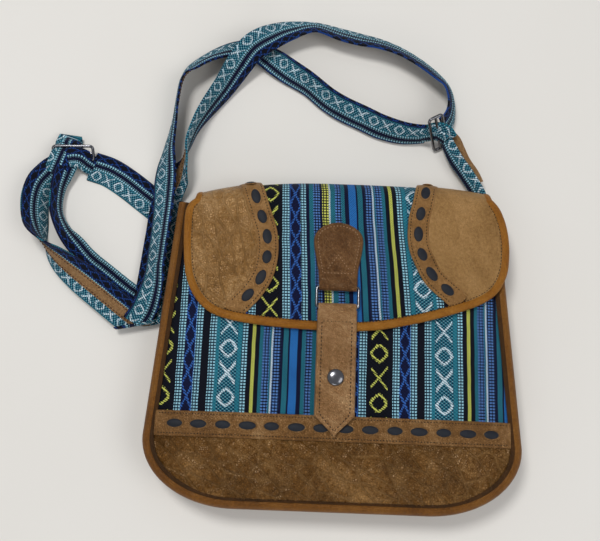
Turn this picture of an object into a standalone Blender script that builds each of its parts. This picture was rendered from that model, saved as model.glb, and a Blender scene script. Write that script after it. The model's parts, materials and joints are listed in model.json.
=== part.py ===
"""Flap satchel of striped jacquard cotton and brown leather, lying on its back with the flap closed.

Metres. +X is the wearer's right, +Y runs from the bag's bottom seam to its top fold and +Z out of
the front panel. The origin is on the surface that the back panel rests on.
"""

import math

import bmesh
import bpy
import numpy as np
from mathutils import Matrix, Vector

MM = 0.001
GAP = 0.3 * MM
SEAM_GAP = 2.3 * MM

# Body outline: straight slanting sides and elliptical bottom corners
BOTTOM_Y = -124 * MM
CORNER_Y = -74 * MM
MOUTH_Y = 100 * MM
SEAM_TOP_Y = 108 * MM
HALF_WIDTH = 141 * MM
SIDE_SLOPE = 0.077
CORNER_RX = 70 * MM
PIPING_R = 4.0 * MM

# Heights over the resting surface
PIPING_Z_BOTTOM = 30 * MM
PIPING_Z_TOP = 22 * MM
PANEL_RISE = 1.5 * MM
FRONT_PUFF = 9 * MM
MOUTH_PUFF = 2.5 * MM

# Sheet thicknesses
CLOTH_T = 1.5 * MM
LEATHER_T = 2.0 * MM
LINING_T = 0.8 * MM

# Grid spacing over the panels
ROW_STEP = 17.4 * MM
CORNER_ROWS = 5
BAND_T = 1.2 * MM
PATCH_T = 1.2 * MM

# Front lace band and its running lace
BAND_Y = -64 * MM
BAND_H = 18 * MM
LACE_PITCH = 18 * MM
LACE_COUNT = 14
LACE_GAP = 5.6 * MM
LACE_OVER = LACE_PITCH - LACE_GAP
LACE_W = 6.4 * MM
LACE_NECK_W = 3.4 * MM
LACE_T = 0.5 * MM
SLOT_T = 3.2 * MM

# Top fold of the flap and the line that the flap turns on
FOLD_Y = 130.5 * MM
FOLD_BOW = 18.4 * MM
FOLD_MID_X = 20 * MM
FOLD_HALF = 145 * MM
FOLD_R = 15.2 * MM
FOLD_T = 2.6 * MM
HINGE_DEG = 50.0
BACK_MARGIN_Y = 88 * MM
TOP_CLOTH_T = 2.0 * MM
TOP_CLOTH_LEFT = -104 * MM
TOP_CLOTH_RIGHT = 110 * MM

# Flap edge, as the points that its curve runs through on the front, hinge to hinge
FLAP_EDGE = [
    (-112, None), (-118.5, 104), (-120.6, 92), (-119.4, 66), (-115.5, 44), (-105, 26), (-88, 15.6),
    (-58, 10.6), (-20, 8.3), (20, 8.7), (52, 14), (82, 22.2), (107, 31.5), (122.5, 41.5),
    (131, 56), (133.6, 75), (132.2, 93), (127.5, 108), (120, None),
]
FLAP_LEFT_CORNER = 5
FLAP_RIGHT_CORNER = 12
BINDING_W = 7.0 * MM
BINDING_H = 4.6 * MM
FLAP_LINING_T = 0.7 * MM
FLAP_CLOTH_LOW = 1.0 * MM
PATCH_LOW = 2.9 * MM
FLAP_BAND_LOW = 3.7 * MM
CORNER_START = 6 * MM
CORNER_BAND_W = 16 * MM
CORNER_LACES = 5
CORNER_LACE_PITCH = 15.5 * MM
CORNER_LACE_GAP = 4.5 * MM
CORNER_LACE_OVER = CORNER_LACE_PITCH - CORNER_LACE_GAP

# Centre-side edges of the two leather corners, on the front
LEFT_CORNER_EDGE = [(-56, 110), (-48, 86), (-46.2, 66), (-49.6, 47), (-57.5, 32.5), (-69, 19)]
RIGHT_CORNER_EDGE = [(58, 113), (54.8, 98), (54.6, 78), (59.6, 62), (68, 46.5), (84.5, 32)]

# Closure: tab, ring, strap and snap
CLOSURE_X = 0.4 * MM
TAB_TOP_Y = 94 * MM
TAB_W = 37 * MM
TAB_FOOT_W = 28.4 * MM
TAB_T = 1.6 * MM
RING_Z = 42.6 * MM
RING_TOP_Y = 41 * MM
RING_LOW_Y = 25.8 * MM
RING_HALF_W = 15.8 * MM
RING_WIRE_R = 1.2 * MM
LOOP_BORE_R = 1.55 * MM
LOOP_R = 3.0 * MM
STRAP_W = 28.4 * MM
STRAP_T = 2.8 * MM
STRAP_BACK_Z = 42.2 * MM
STRAP_SHOULDER_Y = -55 * MM
STRAP_TIP_Y = -69.5 * MM
SNAP_Y = -27 * MM
SNAP_CAP_R = 6.2 * MM
SNAP_CAP_H = 3.0 * MM
SNAP_SHANK_R = 1.5 * MM
SNAP_SOCKET_R = 5.0 * MM
SNAP_SOCKET_T = 2.2 * MM
SNAP_BORE_R = 2.4 * MM
SNAP_BALL_R = 1.8 * MM

# Shoulder strap webbing and its sliders
WEB_W = 25 * MM
WEB_T = 2.4 * MM
SLIDER_W = 35 * MM
SLIDER_H = 12 * MM
SLIDER_R = 1.2 * MM

# Webbing routes: x, y, z in millimetres and the roll in degrees, by hand from the photograph
SHORT_LEFT = [(-204, 143, 1.6, 0), (-188.5, 138, 1.5, 0), (-172, 128, 1.5, 0), (-157, 117, 1.5, 0),
              (-145, 108.5, 1.5, 0), (-136, 104, 1.5, 0), (-127.8, 103.2, 1.5, 0)]
LONG_A_LOWER = [(-229.5, 141, 5.6, 0), (-236, 132.5, 7.6, 20), (-242, 122, 10.3, 40),
                (-244.5, 107, 11.2, 48), (-241.5, 89, 11.8, 58), (-234.5, 75, 12.9, 92),
                (-222, 62.5, 11.5, 130), (-204, 48.5, 9.5, 158), (-186, 35, 7.6, 172),
                (-168, 21.5, 7.0, 178), (-154, 11.5, 7.0, 180)]
LONG_B_LOWER = [(-221, 143.5, 9.3, 0), (-223.8, 134, 10.6, 30), (-226.5, 120, 12.2, 60),
                (-226, 101, 12.5, 66), (-218.5, 85, 11.6, 52), (-210, 75, 7.2, 20),
                (-200, 64.5, 3.5, 5), (-182, 51, 1.7, 0), (-166, 39.5, 1.6, 0), (-153, 31, 1.6, 0)]
LONG_A_UPPER = [(-153, 6, 9.9, 0), (-149.5, 18, 9.9, 0), (-147, 30, 11.5, 8), (-145, 44, 13.8, 28),
                (-144, 57, 15, 40), (-143, 72, 15, 40), (-141.8, 90, 15, 40), (-141, 110, 15, 36), (-141.2, 128, 13.8, 30),
                (-141.3, 144, 13.2, 42), (-140.7, 157, 12.5, 58), (-137.7, 180, 12.7, 72),
                (-136, 200, 13, 80), (-133.5, 218, 13, 76), (-126.7, 229.5, 11.6, 55),
                (-113.5, 240, 10.8, 48), (-99, 247.5, 9.6, 38), (-86, 251, 7.8, 28),
                (-74, 250, 6.8, 22), (-62, 244, 6.6, 5), (-45, 231, 8.7, -30), (-28, 219, 11, -48),
                (-12, 206, 11, -46), (1.4, 198, 10.5, -42), (18, 190.5, 10.5, -42),
                (33, 183.5, 10.8, -44), (49, 178.5, 11.7, -54), (61, 177, 12.5, -64),
                (70.2, 177.2, 12.9, -70)]
LONG_B_UPPER = [(-149.5, 11, 4.3, 180), (-149, 24, 4.3, 180), (-147, 45, 4.3, 180),
                (-145, 68, 3.6, 180), (-143, 88, 4.2, 180), (-141.5, 105, 4.4, 180),
                (-138, 121, 4.6, 180), (-132, 133, 6.9, 198), (-127, 145, 12, 240),
                (-124, 160, 12.9, 268), (-118.5, 177, 12.9, 276), (-110.5, 192, 12.7, 288),
                (-97, 213, 12.8, 305), (-85.5, 232, 16.5, 325), (-75.5, 245.5, 19.8, 340),
                (-63, 256.5, 17.2, 355), (-47, 266.5, 12.4, 380), (-24, 272, 11, 405),
                (-1, 266.5, 10, 400), (15, 262.5, 10.2, 400), (31.5, 259, 10.8, 405),
                (49, 252.5, 11.2, 410), (67, 241.5, 11.7, 413), (82, 229, 12, 417),
                (89.5, 219.5, 12.6, 425), (92.5, 207, 12.9, 428), (92, 193, 12.9, 426)]
SHORT_RIGHT = [(88.4, 171.4, 12.9, -75), (94, 165, 12.7, -68), (101.5, 157, 12.2, -60),
               (109.5, 147, 12.1, -58), (117, 136.5, 11.8, -55), (121.2, 127, 11.6, -54),
               (123.2, 118, 11.6, -54), (123.8, 108.9, 11.6, -55)]
SLIDER_LEFT_MID = (-218.7, 151.5, 8.0)
SLIDER_RIGHT_MID = (80.0, 178.3, 16.0)


def clear_scene():
    for obj in list(bpy.data.objects):
        bpy.data.objects.remove(obj, do_unlink=True)


def material(name, color, roughness, metallic=0.0):
    made = bpy.data.materials.new(name)
    made.use_nodes = True
    shader = made.node_tree.nodes["Principled BSDF"]
    shader.inputs["Base Color"].default_value = (*color, 1.0)
    shader.inputs["Roughness"].default_value = roughness
    shader.inputs["Metallic"].default_value = metallic
    return made


def new_object(name, mesh, group, look=None):
    obj = bpy.data.objects.new(name, mesh)
    group.objects.link(obj)
    if look:
        mesh.materials.append(look)
    return obj


def hide_guide(obj):
    obj.hide_render = True
    obj.display_type = "WIRE"


def smooth_step(low, high, value):
    t = min(1.0, max(0.0, (value - low) / (high - low)))
    return t * t * (3 - 2 * t)


# Surfaces of the bag

def half_width(y):
    """Half the body's width over the piping at this height up the bag."""
    if y >= CORNER_Y:
        return HALF_WIDTH - SIDE_SLOPE * (y - CORNER_Y)
    drop = min(1.0, (CORNER_Y - y) / (CORNER_Y - BOTTOM_Y))
    return HALF_WIDTH - CORNER_RX + CORNER_RX * math.sqrt(1 - drop * drop)


def body_outline(inset, steps=8):
    """Points of the U-shaped seam, left top to right top, this far inside the outer edge."""
    left = []
    for i in range(6):
        y = SEAM_TOP_Y + (CORNER_Y - SEAM_TOP_Y) * i / 6
        left.append((inset - half_width(y), y))
    rx = CORNER_RX - inset
    ry = CORNER_Y - BOTTOM_Y - inset
    for i in range(steps + 1):
        turn = math.pi + math.pi / 2 * i / steps
        left.append((CORNER_RX - HALF_WIDTH + rx * math.cos(turn), CORNER_Y + ry * math.sin(turn)))
    middle = [(left[-1][0] / 2, left[-1][1]), (0.0, left[-1][1])]
    half = left + middle
    return half + [(-x, y) for x, y in reversed(half[:-1])]


def piping_z(y):
    share = (y - BOTTOM_Y) / (SEAM_TOP_Y - BOTTOM_Y)
    return PIPING_Z_BOTTOM + (PIPING_Z_TOP - PIPING_Z_BOTTOM) * share


def puff(x, y):
    """How far the stuffed front stands over its seam."""
    side = min(1.0, abs(x) / (half_width(y) - 2 * PIPING_R))
    rise = 1 - (1 - min(1.0, (y - BOTTOM_Y) / (60 * MM))) ** 3
    top = smooth_step(MOUTH_Y, 45 * MM, y)
    return (MOUTH_PUFF + (FRONT_PUFF - MOUTH_PUFF) * top) * (1 - side ** 4) * rise


def front_z(x, y):
    """Outer face of the front cloth and the bottom leather."""
    return piping_z(y) + PANEL_RISE + puff(x, y)


def fold_centre_y(x):
    return FOLD_Y - FOLD_BOW * abs((x - FOLD_MID_X) / FOLD_HALF) ** 3 - FOLD_R


FOLD_CENTRE_Z = FOLD_R
FOLD_UNDER_R = FOLD_R - FOLD_T
HINGE = math.radians(HINGE_DEG)
HINGE_ARC = FOLD_R * (math.pi / 2 - HINGE)


def flap_under(x, y):
    """The face that the flap's lining lies on: just over the front and its piping."""
    lift = math.hypot(puff(x, y), PIPING_R + 0.6 * MM - 2.0 * MM)
    low = piping_z(y) + 2.0 * MM + lift
    near_fold = smooth_step(fold_centre_y(x) - 34 * MM, fold_centre_y(x), y)
    return low + (FOLD_CENTRE_Z + FOLD_UNDER_R - low) * near_fold


def flap_point(x, s, h):
    """Point on the flap: s is the cloth's length from the hinge line, h the height over its lining face."""
    if s < HINGE_ARC:
        turn = HINGE + s / FOLD_R
        reach = FOLD_UNDER_R + h
        return Vector((x, fold_centre_y(x) + reach * math.cos(turn), FOLD_CENTRE_Z + reach * math.sin(turn)))
    y = fold_centre_y(x) - (s - HINGE_ARC)
    return Vector((x, y, flap_under(x, y) + h))


def flap_s(x, y):
    return fold_centre_y(x) - y + HINGE_ARC


# Helpers for outlines

def spline(points, per_span):
    """Points along a Catmull-Rom curve through the given ones."""
    ends = [2 * Vector(points[0]) - Vector(points[1])]
    ends += [Vector(p) for p in points]
    ends += [2 * Vector(points[-1]) - Vector(points[-2])]
    made = []
    for i in range(1, len(ends) - 2):
        a, b, c, d = ends[i - 1:i + 3]
        for step in range(per_span):
            t = step / per_span
            made.append(0.5 * ((2 * b) + (c - a) * t + (2 * a - 5 * b + 4 * c - d) * t ** 2
                               + (3 * b - a - 3 * c + d) * t ** 3))
    made.append(ends[-2])
    return made


def offset(points, distance):
    """A 2D line moved to its left by a distance."""
    moved = []
    for i, point in enumerate(points):
        before = points[max(0, i - 1)]
        after = points[min(len(points) - 1, i + 1)]
        along = (Vector(after[:2]) - Vector(before[:2])).normalized()
        moved.append(Vector((point[0] - along.y * distance, point[1] + along.x * distance)))
    return moved


def even(points, count):
    """The same line with evenly spaced points."""
    flat = np.array([tuple(p) for p in points])
    run = np.concatenate([[0.0], np.cumsum(np.linalg.norm(np.diff(flat, axis=0), axis=1))])
    where = np.linspace(0, run[-1], count)
    return [Vector(c) for c in zip(*[np.interp(where, run, flat[:, k]) for k in range(flat.shape[1])])]


def line_length(points):
    return sum((Vector(b) - Vector(a)).length for a, b in zip(points, points[1:]))


# Helpers for solids

def sheet(name, rows, thickness, group, look):
    """A shell from a grid of points, thickened away from its outer face."""
    across = len(rows[0])
    mesh = bpy.data.meshes.new(name)
    verts = [tuple(p) for row in rows for p in row]
    faces = []
    for j in range(len(rows) - 1):
        for i in range(across - 1):
            a = j * across + i
            faces.append((a, a + across, a + across + 1, a + 1))
    mesh.from_pydata(verts, [], faces)
    obj = new_object(name, mesh, group, look)
    thick = obj.modifiers.new("Thickness", "SOLIDIFY")
    thick.thickness = thickness
    thick.offset = -1.0
    mesh.shade_smooth()
    return obj


def tube(name, points, radius, group, look, closed=False, resolution=2):
    curve = bpy.data.curves.new(name, "CURVE")
    curve.dimensions = "3D"
    curve.bevel_depth = radius
    curve.bevel_resolution = resolution
    curve.use_fill_caps = not closed
    line = curve.splines.new("POLY")
    line.points.add(len(points) - 1)
    for point, co in zip(line.points, points):
        point.co = (*co, 1.0)
    line.use_cyclic_u = closed
    obj = new_object(name, curve, group, None)
    curve.materials.append(look)
    return obj


def rolled_outline(width, height, corners=8):
    """Clockwise outline of a flattened roll."""
    outline = []
    for i in range(corners):
        turn = -2 * math.pi * (i + 0.5) / corners
        x = math.copysign(abs(math.cos(turn)) ** 0.6, math.cos(turn)) * width / 2
        y = math.copysign(abs(math.sin(turn)) ** 0.6, math.sin(turn)) * height / 2
        outline.append((x, y))
    return outline


def flat_outline(width, height):
    """Clockwise outline of a flat band."""
    x = width / 2
    y = height / 2
    return [(x, -y), (-x, -y), (-x, y), (x, y)]


def bevel_profile(name, outline, group):
    curve = bpy.data.curves.new(name, "CURVE")
    line = curve.splines.new("POLY")
    line.points.add(len(outline) - 1)
    for point, (x, y) in zip(line.points, outline):
        point.co = (x, y, 0.0, 1.0)
    line.use_cyclic_u = True
    obj = new_object(name, curve, group)
    hide_guide(obj)
    return obj


def swept(name, points, rolls, profile, group, look):
    """A flat band along a route, with its roll about the route in degrees."""
    curve = bpy.data.curves.new(name, "CURVE")
    curve.dimensions = "3D"
    curve.twist_mode = "Z_UP"
    curve.bevel_mode = "OBJECT"
    curve.bevel_object = profile
    curve.use_fill_caps = True
    line = curve.splines.new("POLY")
    line.points.add(len(points) - 1)
    for point, co, roll in zip(line.points, points, rolls):
        point.co = (*co, 1.0)
        point.tilt = math.radians(-roll)
    obj = new_object(name, curve, group)
    curve.materials.append(look)
    return obj


def as_mesh(obj):
    """The same object as a mesh with its caps joined, so that it can be cut or joined."""
    bpy.context.view_layer.update()
    graph = bpy.context.evaluated_depsgraph_get()
    mesh = bpy.data.meshes.new_from_object(obj.evaluated_get(graph))
    made = bpy.data.objects.new(obj.name + "_mesh", mesh)
    made.matrix_world = obj.matrix_world
    name = obj.name
    for owner in obj.users_collection:
        owner.objects.link(made)
    bpy.data.objects.remove(obj, do_unlink=True)
    made.name = name
    work = bmesh.new()
    work.from_mesh(mesh)
    bmesh.ops.remove_doubles(work, verts=work.verts, dist=1e-6)
    bmesh.ops.recalc_face_normals(work, faces=work.faces)
    work.to_mesh(mesh)
    work.free()
    return made


def combine(obj, other, operation):
    """A Boolean of two meshes, with the second kept as a hidden guide."""
    cut = obj.modifiers.new(operation.title(), "BOOLEAN")
    cut.operation = operation
    cut.object = other
    hide_guide(other)


def cylinder(name, radius, depth, centre, direction, group, look=None, sides=24):
    mesh = bpy.data.meshes.new(name)
    work = bmesh.new()
    bmesh.ops.create_cone(work, cap_ends=True, segments=sides, radius1=radius, radius2=radius, depth=depth)
    work.to_mesh(mesh)
    work.free()
    obj = new_object(name, mesh, group, look)
    obj.location = centre
    obj.rotation_euler = Vector(direction).to_track_quat("Z", "Y").to_euler()
    return obj


def turned(name, profile, centre, group, look, steps=16):
    """A solid turned about Z from a profile that runs down its outer side."""
    mesh = bpy.data.meshes.new(name)
    mesh.from_pydata([(r, 0.0, z) for r, z in profile], [(i, i + 1) for i in range(len(profile) - 1)], [])
    obj = new_object(name, mesh, group, look)
    obj.location = centre
    screw = obj.modifiers.new("Turn", "SCREW")
    screw.steps = steps
    screw.render_steps = steps
    screw.use_merge_vertices = True
    screw.merge_threshold = 1e-6
    return obj


# Body of the bag

def panel_levels(low_y, high_y, inset):
    """Heights up the bag that every panel's grid shares, closer together in the round corners."""
    levels = []
    for i in range(CORNER_ROWS):
        turn = math.pi / 2 * (1 - i / CORNER_ROWS)
        levels.append(CORNER_Y - (CORNER_Y - BOTTOM_Y - inset) * math.sin(turn))
    rows = round((MOUTH_Y - CORNER_Y) / ROW_STEP)
    levels += [CORNER_Y + (MOUTH_Y - CORNER_Y) * i / rows for i in range(rows + 1)]
    inner = [y for y in levels if low_y + MM < y < high_y - MM]
    return [low_y] + inner + [high_y]


def panel_rows(low_y, high_y, inset, height, across=12):
    """Grid over the front or back between two heights."""
    rows = []
    for y in panel_levels(low_y, high_y, inset):
        reach = inset_half_width(y, inset)
        rows.append([(reach * u, y, height(reach * u, y)) for u in np.linspace(-1, 1, across + 1)])
    return rows


def inset_half_width(y, inset):
    if y >= CORNER_Y:
        return half_width(y) - inset
    drop = min(1.0, (CORNER_Y - y) / (CORNER_Y - BOTTOM_Y - inset))
    return HALF_WIDTH - CORNER_RX + (CORNER_RX - inset) * math.sqrt(1 - drop * drop)


def flipped(rows):
    return [list(reversed(row)) for row in rows]


def make_front(group, looks):
    inset = 2 * PIPING_R + GAP
    cloth = flipped(panel_rows(BAND_Y + GAP / 2, MOUTH_Y, inset, front_z))
    sheet("front_cloth", cloth, CLOTH_T, group, looks["cloth"])
    low = BOTTOM_Y + inset
    leather = flipped(panel_rows(low, BAND_Y - GAP / 2, inset, front_z))
    sheet("front_bottom_leather", leather, CLOTH_T, group, looks["leather"])


def back_height(_, y):
    margin = TOP_CLOTH_T + GAP
    return LEATHER_T + margin * smooth_step(BACK_MARGIN_Y - 30 * MM, BACK_MARGIN_Y - 8 * MM, y)


def make_back(group, looks):
    inset = 2 * PIPING_R + GAP
    rows = flipped(panel_rows(BOTTOM_Y + inset, MOUTH_Y, inset, back_height, across=8))
    sheet("back_panel", rows, LEATHER_T, group, looks["leather"])


def make_piping(group, looks):
    path = body_outline(PIPING_R)
    tube("front_piping", [(x, y, piping_z(y)) for x, y in path], PIPING_R, group, looks["tan"])
    tube("back_piping", [(x, y, PIPING_R) for x, y in path], PIPING_R, group, looks["tan"])


def make_gusset(group, looks):
    outer = body_outline(PIPING_R - LEATHER_T / 2)
    low = 2 * PIPING_R + GAP
    rows = []
    for share in (0.0, 0.5, 1.0):
        bow = 1.2 * MM * (1 - (2 * share - 1) ** 2)
        rows.append([
            (x * (1 - bow / HALF_WIDTH), y + bow * (y < CORNER_Y), low + (piping_z(y) - PIPING_R - GAP - low) * share)
            for x, y in outer
        ])
    sheet("gusset", rows, LEATHER_T, group, looks["leather"])


def make_lining(group, looks):
    """A cotton bag inside the bag, open at the mouth."""
    inset = 2 * PIPING_R + 2 * GAP
    rows = []
    levels = panel_levels(BOTTOM_Y + inset, MOUTH_Y, inset)
    for y in levels:
        reach = inset_half_width(y, inset)
        low = back_height(0, y) + GAP
        ring = [(reach * u, y, low) for u in (-1, -0.5, 0, 0.5, 1)]
        ring += [(reach * u, y, front_z(reach * u, y) - CLOTH_T - GAP) for u in np.linspace(1, -1, 13)]
        rows.append(ring + [ring[0]])
    mesh_rows = [[Vector(p) for p in row] for row in rows]
    obj = sheet("lining", mesh_rows, LINING_T, group, looks["lining"])
    work = bmesh.new()
    work.from_mesh(obj.data)
    bmesh.ops.remove_doubles(work, verts=work.verts, dist=1e-6)
    rim = [e for e in work.edges if e.is_boundary and all(v.co.y < levels[0] + 1e-6 for v in e.verts)]
    bmesh.ops.contextual_create(work, geom=rim)
    bmesh.ops.triangulate(work, faces=[f for f in work.faces if len(f.verts) > 4])
    bmesh.ops.recalc_face_normals(work, faces=work.faces)
    work.to_mesh(obj.data)
    work.free()


def make_top_cloth(group, looks):
    """The cloth that runs from the back seam round the top fold up to the flap's hinge line."""
    turns = np.linspace(-math.pi / 2, HINGE - SEAM_GAP / FOLD_R, 9)
    rows = []
    for u in np.linspace(0, 1, 10):
        x = TOP_CLOTH_LEFT + (TOP_CLOTH_RIGHT - TOP_CLOTH_LEFT) * u
        centre = fold_centre_y(x)
        line = [(x, BACK_MARGIN_Y, 0.0)]
        for turn in turns:
            line.append((x, centre + FOLD_R * math.cos(turn), FOLD_CENTRE_Z + FOLD_R * math.sin(turn)))
        rows.append(line)
    sheet("top_cloth", flipped(rows), TOP_CLOTH_T, group, looks["cloth"])


# Lace bands

def band_mesh(name, line, width, low, thickness, lay, group, look):
    """A strip along a 2D line, laid on a surface by the lay function, as a closed solid."""
    left = offset(line, width / 2)
    right = offset(line, -width / 2)
    rows = []
    for a, b in zip(left, right):
        rows.append([lay(a.x + (b.x - a.x) * u, a.y + (b.y - a.y) * u, low + thickness) for u in (1, 0.5, 0)])
    return sheet(name, rows, thickness, group, look)


def slot_cutters(name, line, starts, lay, low, high, group):
    """One mesh of small boxes where the lace goes through the band."""
    mesh = bpy.data.meshes.new(name)
    work = bmesh.new()
    dense = even(line, 400)
    step = line_length(line) / 399
    for start in starts:
        i = min(398, max(1, round(start / step)))
        along = (dense[i + 1] - dense[i - 1]).normalized()
        base = lay(dense[i].x, dense[i].y, low)
        up = lay(dense[i].x, dense[i].y, high) - base
        ahead = lay(dense[i].x + along.x * MM, dense[i].y + along.y * MM, low) - base
        z_axis = up.normalized()
        x_axis = (ahead - z_axis * ahead.dot(z_axis)).normalized()
        y_axis = z_axis.cross(x_axis)
        frame = Matrix((x_axis, y_axis, z_axis)).transposed().to_4x4()
        frame.translation = base + up / 2
        size = Matrix.Diagonal((SLOT_T, LACE_NECK_W + 0.8 * MM, up.length, 1.0))
        bmesh.ops.create_cube(work, size=1.0, matrix=frame @ size)
    work.to_mesh(mesh)
    work.free()
    obj = new_object(name, mesh, group)
    hide_guide(obj)
    return obj


def lace_mesh(name, line, centres, over, low, high, lay, group, look):
    """One flat lace that runs over the band at each centre and under it in between."""
    dense = even(line, 600)
    step = line_length(line) / 599
    half = over / 2
    stations = []
    for centre in centres:
        stations += [
            (centre - half - 1.1 * MM, low, LACE_NECK_W),
            (centre - half + 0.5 * MM, high, LACE_NECK_W),
            (centre - half * 0.55, high + 0.5 * MM, LACE_W * 0.92),
            (centre, high + 0.8 * MM, LACE_W),
            (centre + half * 0.55, high + 0.5 * MM, LACE_W * 0.92),
            (centre + half - 0.5 * MM, high, LACE_NECK_W),
            (centre + half + 1.1 * MM, low, LACE_NECK_W),
        ]
    sections = []
    for along, height, width in stations:
        i = min(598, max(1, round(along / step)))
        way = (dense[i + 1] - dense[i - 1]).normalized()
        side = Vector((-way.y, way.x)) * width / 2
        sections.append([
            lay(dense[i].x + side.x * k, dense[i].y + side.y * k, height + h)
            for k, h in ((-1, 0), (1, 0), (1, LACE_T), (-1, LACE_T))
        ])
    return loft(name, sections, group, look)


def loft(name, sections, group, look):
    """A closed solid through a row of sections with as many points each."""
    mesh = bpy.data.meshes.new(name)
    work = bmesh.new()
    rings = [[work.verts.new(p) for p in section] for section in sections]
    count = len(rings[0])
    for a, b in zip(rings, rings[1:]):
        for i in range(count):
            work.faces.new((a[i], a[(i + 1) % count], b[(i + 1) % count], b[i]))
    work.faces.new(list(reversed(rings[0])))
    work.faces.new(rings[-1])
    bmesh.ops.recalc_face_normals(work, faces=work.faces)
    work.to_mesh(mesh)
    work.free()
    mesh.shade_smooth()
    return new_object(name, mesh, group, look)


def on_front(x, y, h):
    return Vector((x, y, front_z(x, y) + h))


def on_flap(x, y, h):
    return flap_point(x, flap_s(x, y), h)


def slot_starts(centres, over):
    return [c + side * (over / 2 + 0.3 * MM) for c in centres for side in (-1, 1)]


def make_front_band(group, guides, looks):
    reach = inset_half_width(BAND_Y, 2 * PIPING_R + GAP)
    line = [Vector((x, BAND_Y)) for x in np.linspace(-reach, reach, 25)]
    low = 1.1 * MM
    band = band_mesh("front_lace_band", line, BAND_H, low, BAND_T, on_front, group, looks["leather"])
    first = reach - LACE_PITCH * (LACE_COUNT - 1) / 2
    centres = [first + LACE_PITCH * i for i in range(LACE_COUNT)]
    slots = slot_cutters("front_slots", line, slot_starts(centres, LACE_OVER), on_front,
                         low - MM, low + BAND_T + MM, guides)
    combine(band, slots, "DIFFERENCE")
    lace_mesh("front_lace", line, centres, LACE_OVER, GAP, low + BAND_T + GAP, on_front, group, looks["suede"])


# Flap

def flap_edge(per_span=4):
    """The flap's outer edge as x and cloth length from the hinge, left to right."""
    points = []
    for x, y in FLAP_EDGE:
        points.append(Vector((x * MM, 0.0 if y is None else flap_s(x * MM, y * MM))))
    return spline(points, per_span)


def flap_grid(inset, height, across=15, down=10):
    """Grid over the flap inside its edge by an inset, as a Coons patch of its four sides."""
    edge = offset(flap_edge(), -inset)
    edge[0].y = 0.0
    edge[-1].y = 0.0
    left = even(edge[:4 * FLAP_LEFT_CORNER + 1], down + 1)
    low = even(edge[4 * FLAP_LEFT_CORNER:4 * FLAP_RIGHT_CORNER + 1], across + 1)
    right = list(reversed(even(edge[4 * FLAP_RIGHT_CORNER:], down + 1)))
    rows = []
    for j in range(down + 1):
        v = j / down
        row = []
        for i in range(across + 1):
            u = i / across
            top = left[0].lerp(right[0], u)
            ruled = left[j].lerp(right[j], u) + top.lerp(low[i], v)
            corner = left[0].lerp(right[0], u).lerp(left[-1].lerp(right[-1], u), v)
            at = ruled - corner
            row.append(flap_point(at.x, at.y, height))
        rows.append(row)
    return rows


def make_flap(group, looks):
    inset = BINDING_W + SEAM_GAP
    sheet("flap_cloth", flap_grid(inset, FOLD_T), FOLD_T - FLAP_CLOTH_LOW, group, looks["cloth"])
    sheet("flap_lining", flap_grid(inset, FLAP_LINING_T), FLAP_LINING_T, group, looks["lining"])


def make_binding(group, guides, looks):
    line = offset(flap_edge(2), -BINDING_W / 2)
    line[0].y = 0.3 * MM
    line[-1].y = 0.3 * MM
    profile = bevel_profile("binding_profile", rolled_outline(BINDING_W, BINDING_H), guides)
    path = [flap_point(p.x, p.y, BINDING_H / 2 + GAP / 2) for p in line]
    swept("flap_binding", path, [0.0] * len(path), profile, group, looks["tan"])


def corner_line(points, shift):
    """Line this far from a leather corner's centre-side edge, towards the flap's side."""
    return offset(spline([Vector((x * MM, y * MM)) for x, y in points], 6), shift)


def make_corner(side, points, outward, group, guides, looks):
    """A leather corner: the patch, its lace band along the centre side, and the lace."""
    band_line = corner_line(points, outward * CORNER_BAND_W / 2)
    inner = corner_line(points, outward * (CORNER_BAND_W + SEAM_GAP))
    band = band_mesh(f"flap_lace_band_{side}", band_line, CORNER_BAND_W, FLAP_BAND_LOW, BAND_T, on_flap,
                     group, looks["patch"])
    length = line_length(band_line)
    first = (length - CORNER_LACE_PITCH * (CORNER_LACES - 1)) / 2
    centres = [first + CORNER_LACE_PITCH * i for i in range(CORNER_LACES)]
    slots = slot_cutters(f"slots_{side}", band_line, slot_starts(centres, CORNER_LACE_OVER), on_flap,
                         FLAP_BAND_LOW - MM, FLAP_BAND_LOW + BAND_T + MM, guides)
    combine(band, slots, "DIFFERENCE")
    lace_mesh(f"flap_lace_{side}", band_line, centres, CORNER_LACE_OVER, PATCH_LOW,
              FLAP_BAND_LOW + BAND_T + GAP, on_flap, group, looks["suede"])
    make_patch(side, inner, group, looks)


def make_patch(side, inner, group, looks):
    """The leather between the lace band and the flap's binding."""
    edge = offset(flap_edge(), -(BINDING_W + SEAM_GAP))
    if side == "left":
        outer = edge[3:4 * FLAP_LEFT_CORNER + 6]
    else:
        outer = list(reversed(edge[4 * FLAP_RIGHT_CORNER - 1:-4]))
    outer = even(outer, 12)
    line = [Vector((p.x, flap_s(p.x, p.y))) for p in even(inner, 12)]
    rows = []
    for a, b in zip(outer, line):
        row = [a.lerp(b, u) for u in np.linspace(0, 1, 6)]
        rows.append([flap_point(p.x, max(p.y, CORNER_START), PATCH_LOW + PATCH_T) for p in row])
    if side == "right":
        rows = flipped(rows)
    sheet(f"flap_corner_{side}", rows, PATCH_T, group, looks["patch"])


# Closure

def tab_half_width(y):
    foot = 48 * MM
    shoulder = 80 * MM
    if y > shoulder:
        return TAB_W / 2 * math.sqrt(max(0.02, 1 - ((y - shoulder) / (TAB_TOP_Y - shoulder)) ** 2 * 0.98))
    share = smooth_step(foot, shoulder, y)
    return TAB_FOOT_W / 2 + (TAB_W - TAB_FOOT_W) / 2 * share


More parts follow.
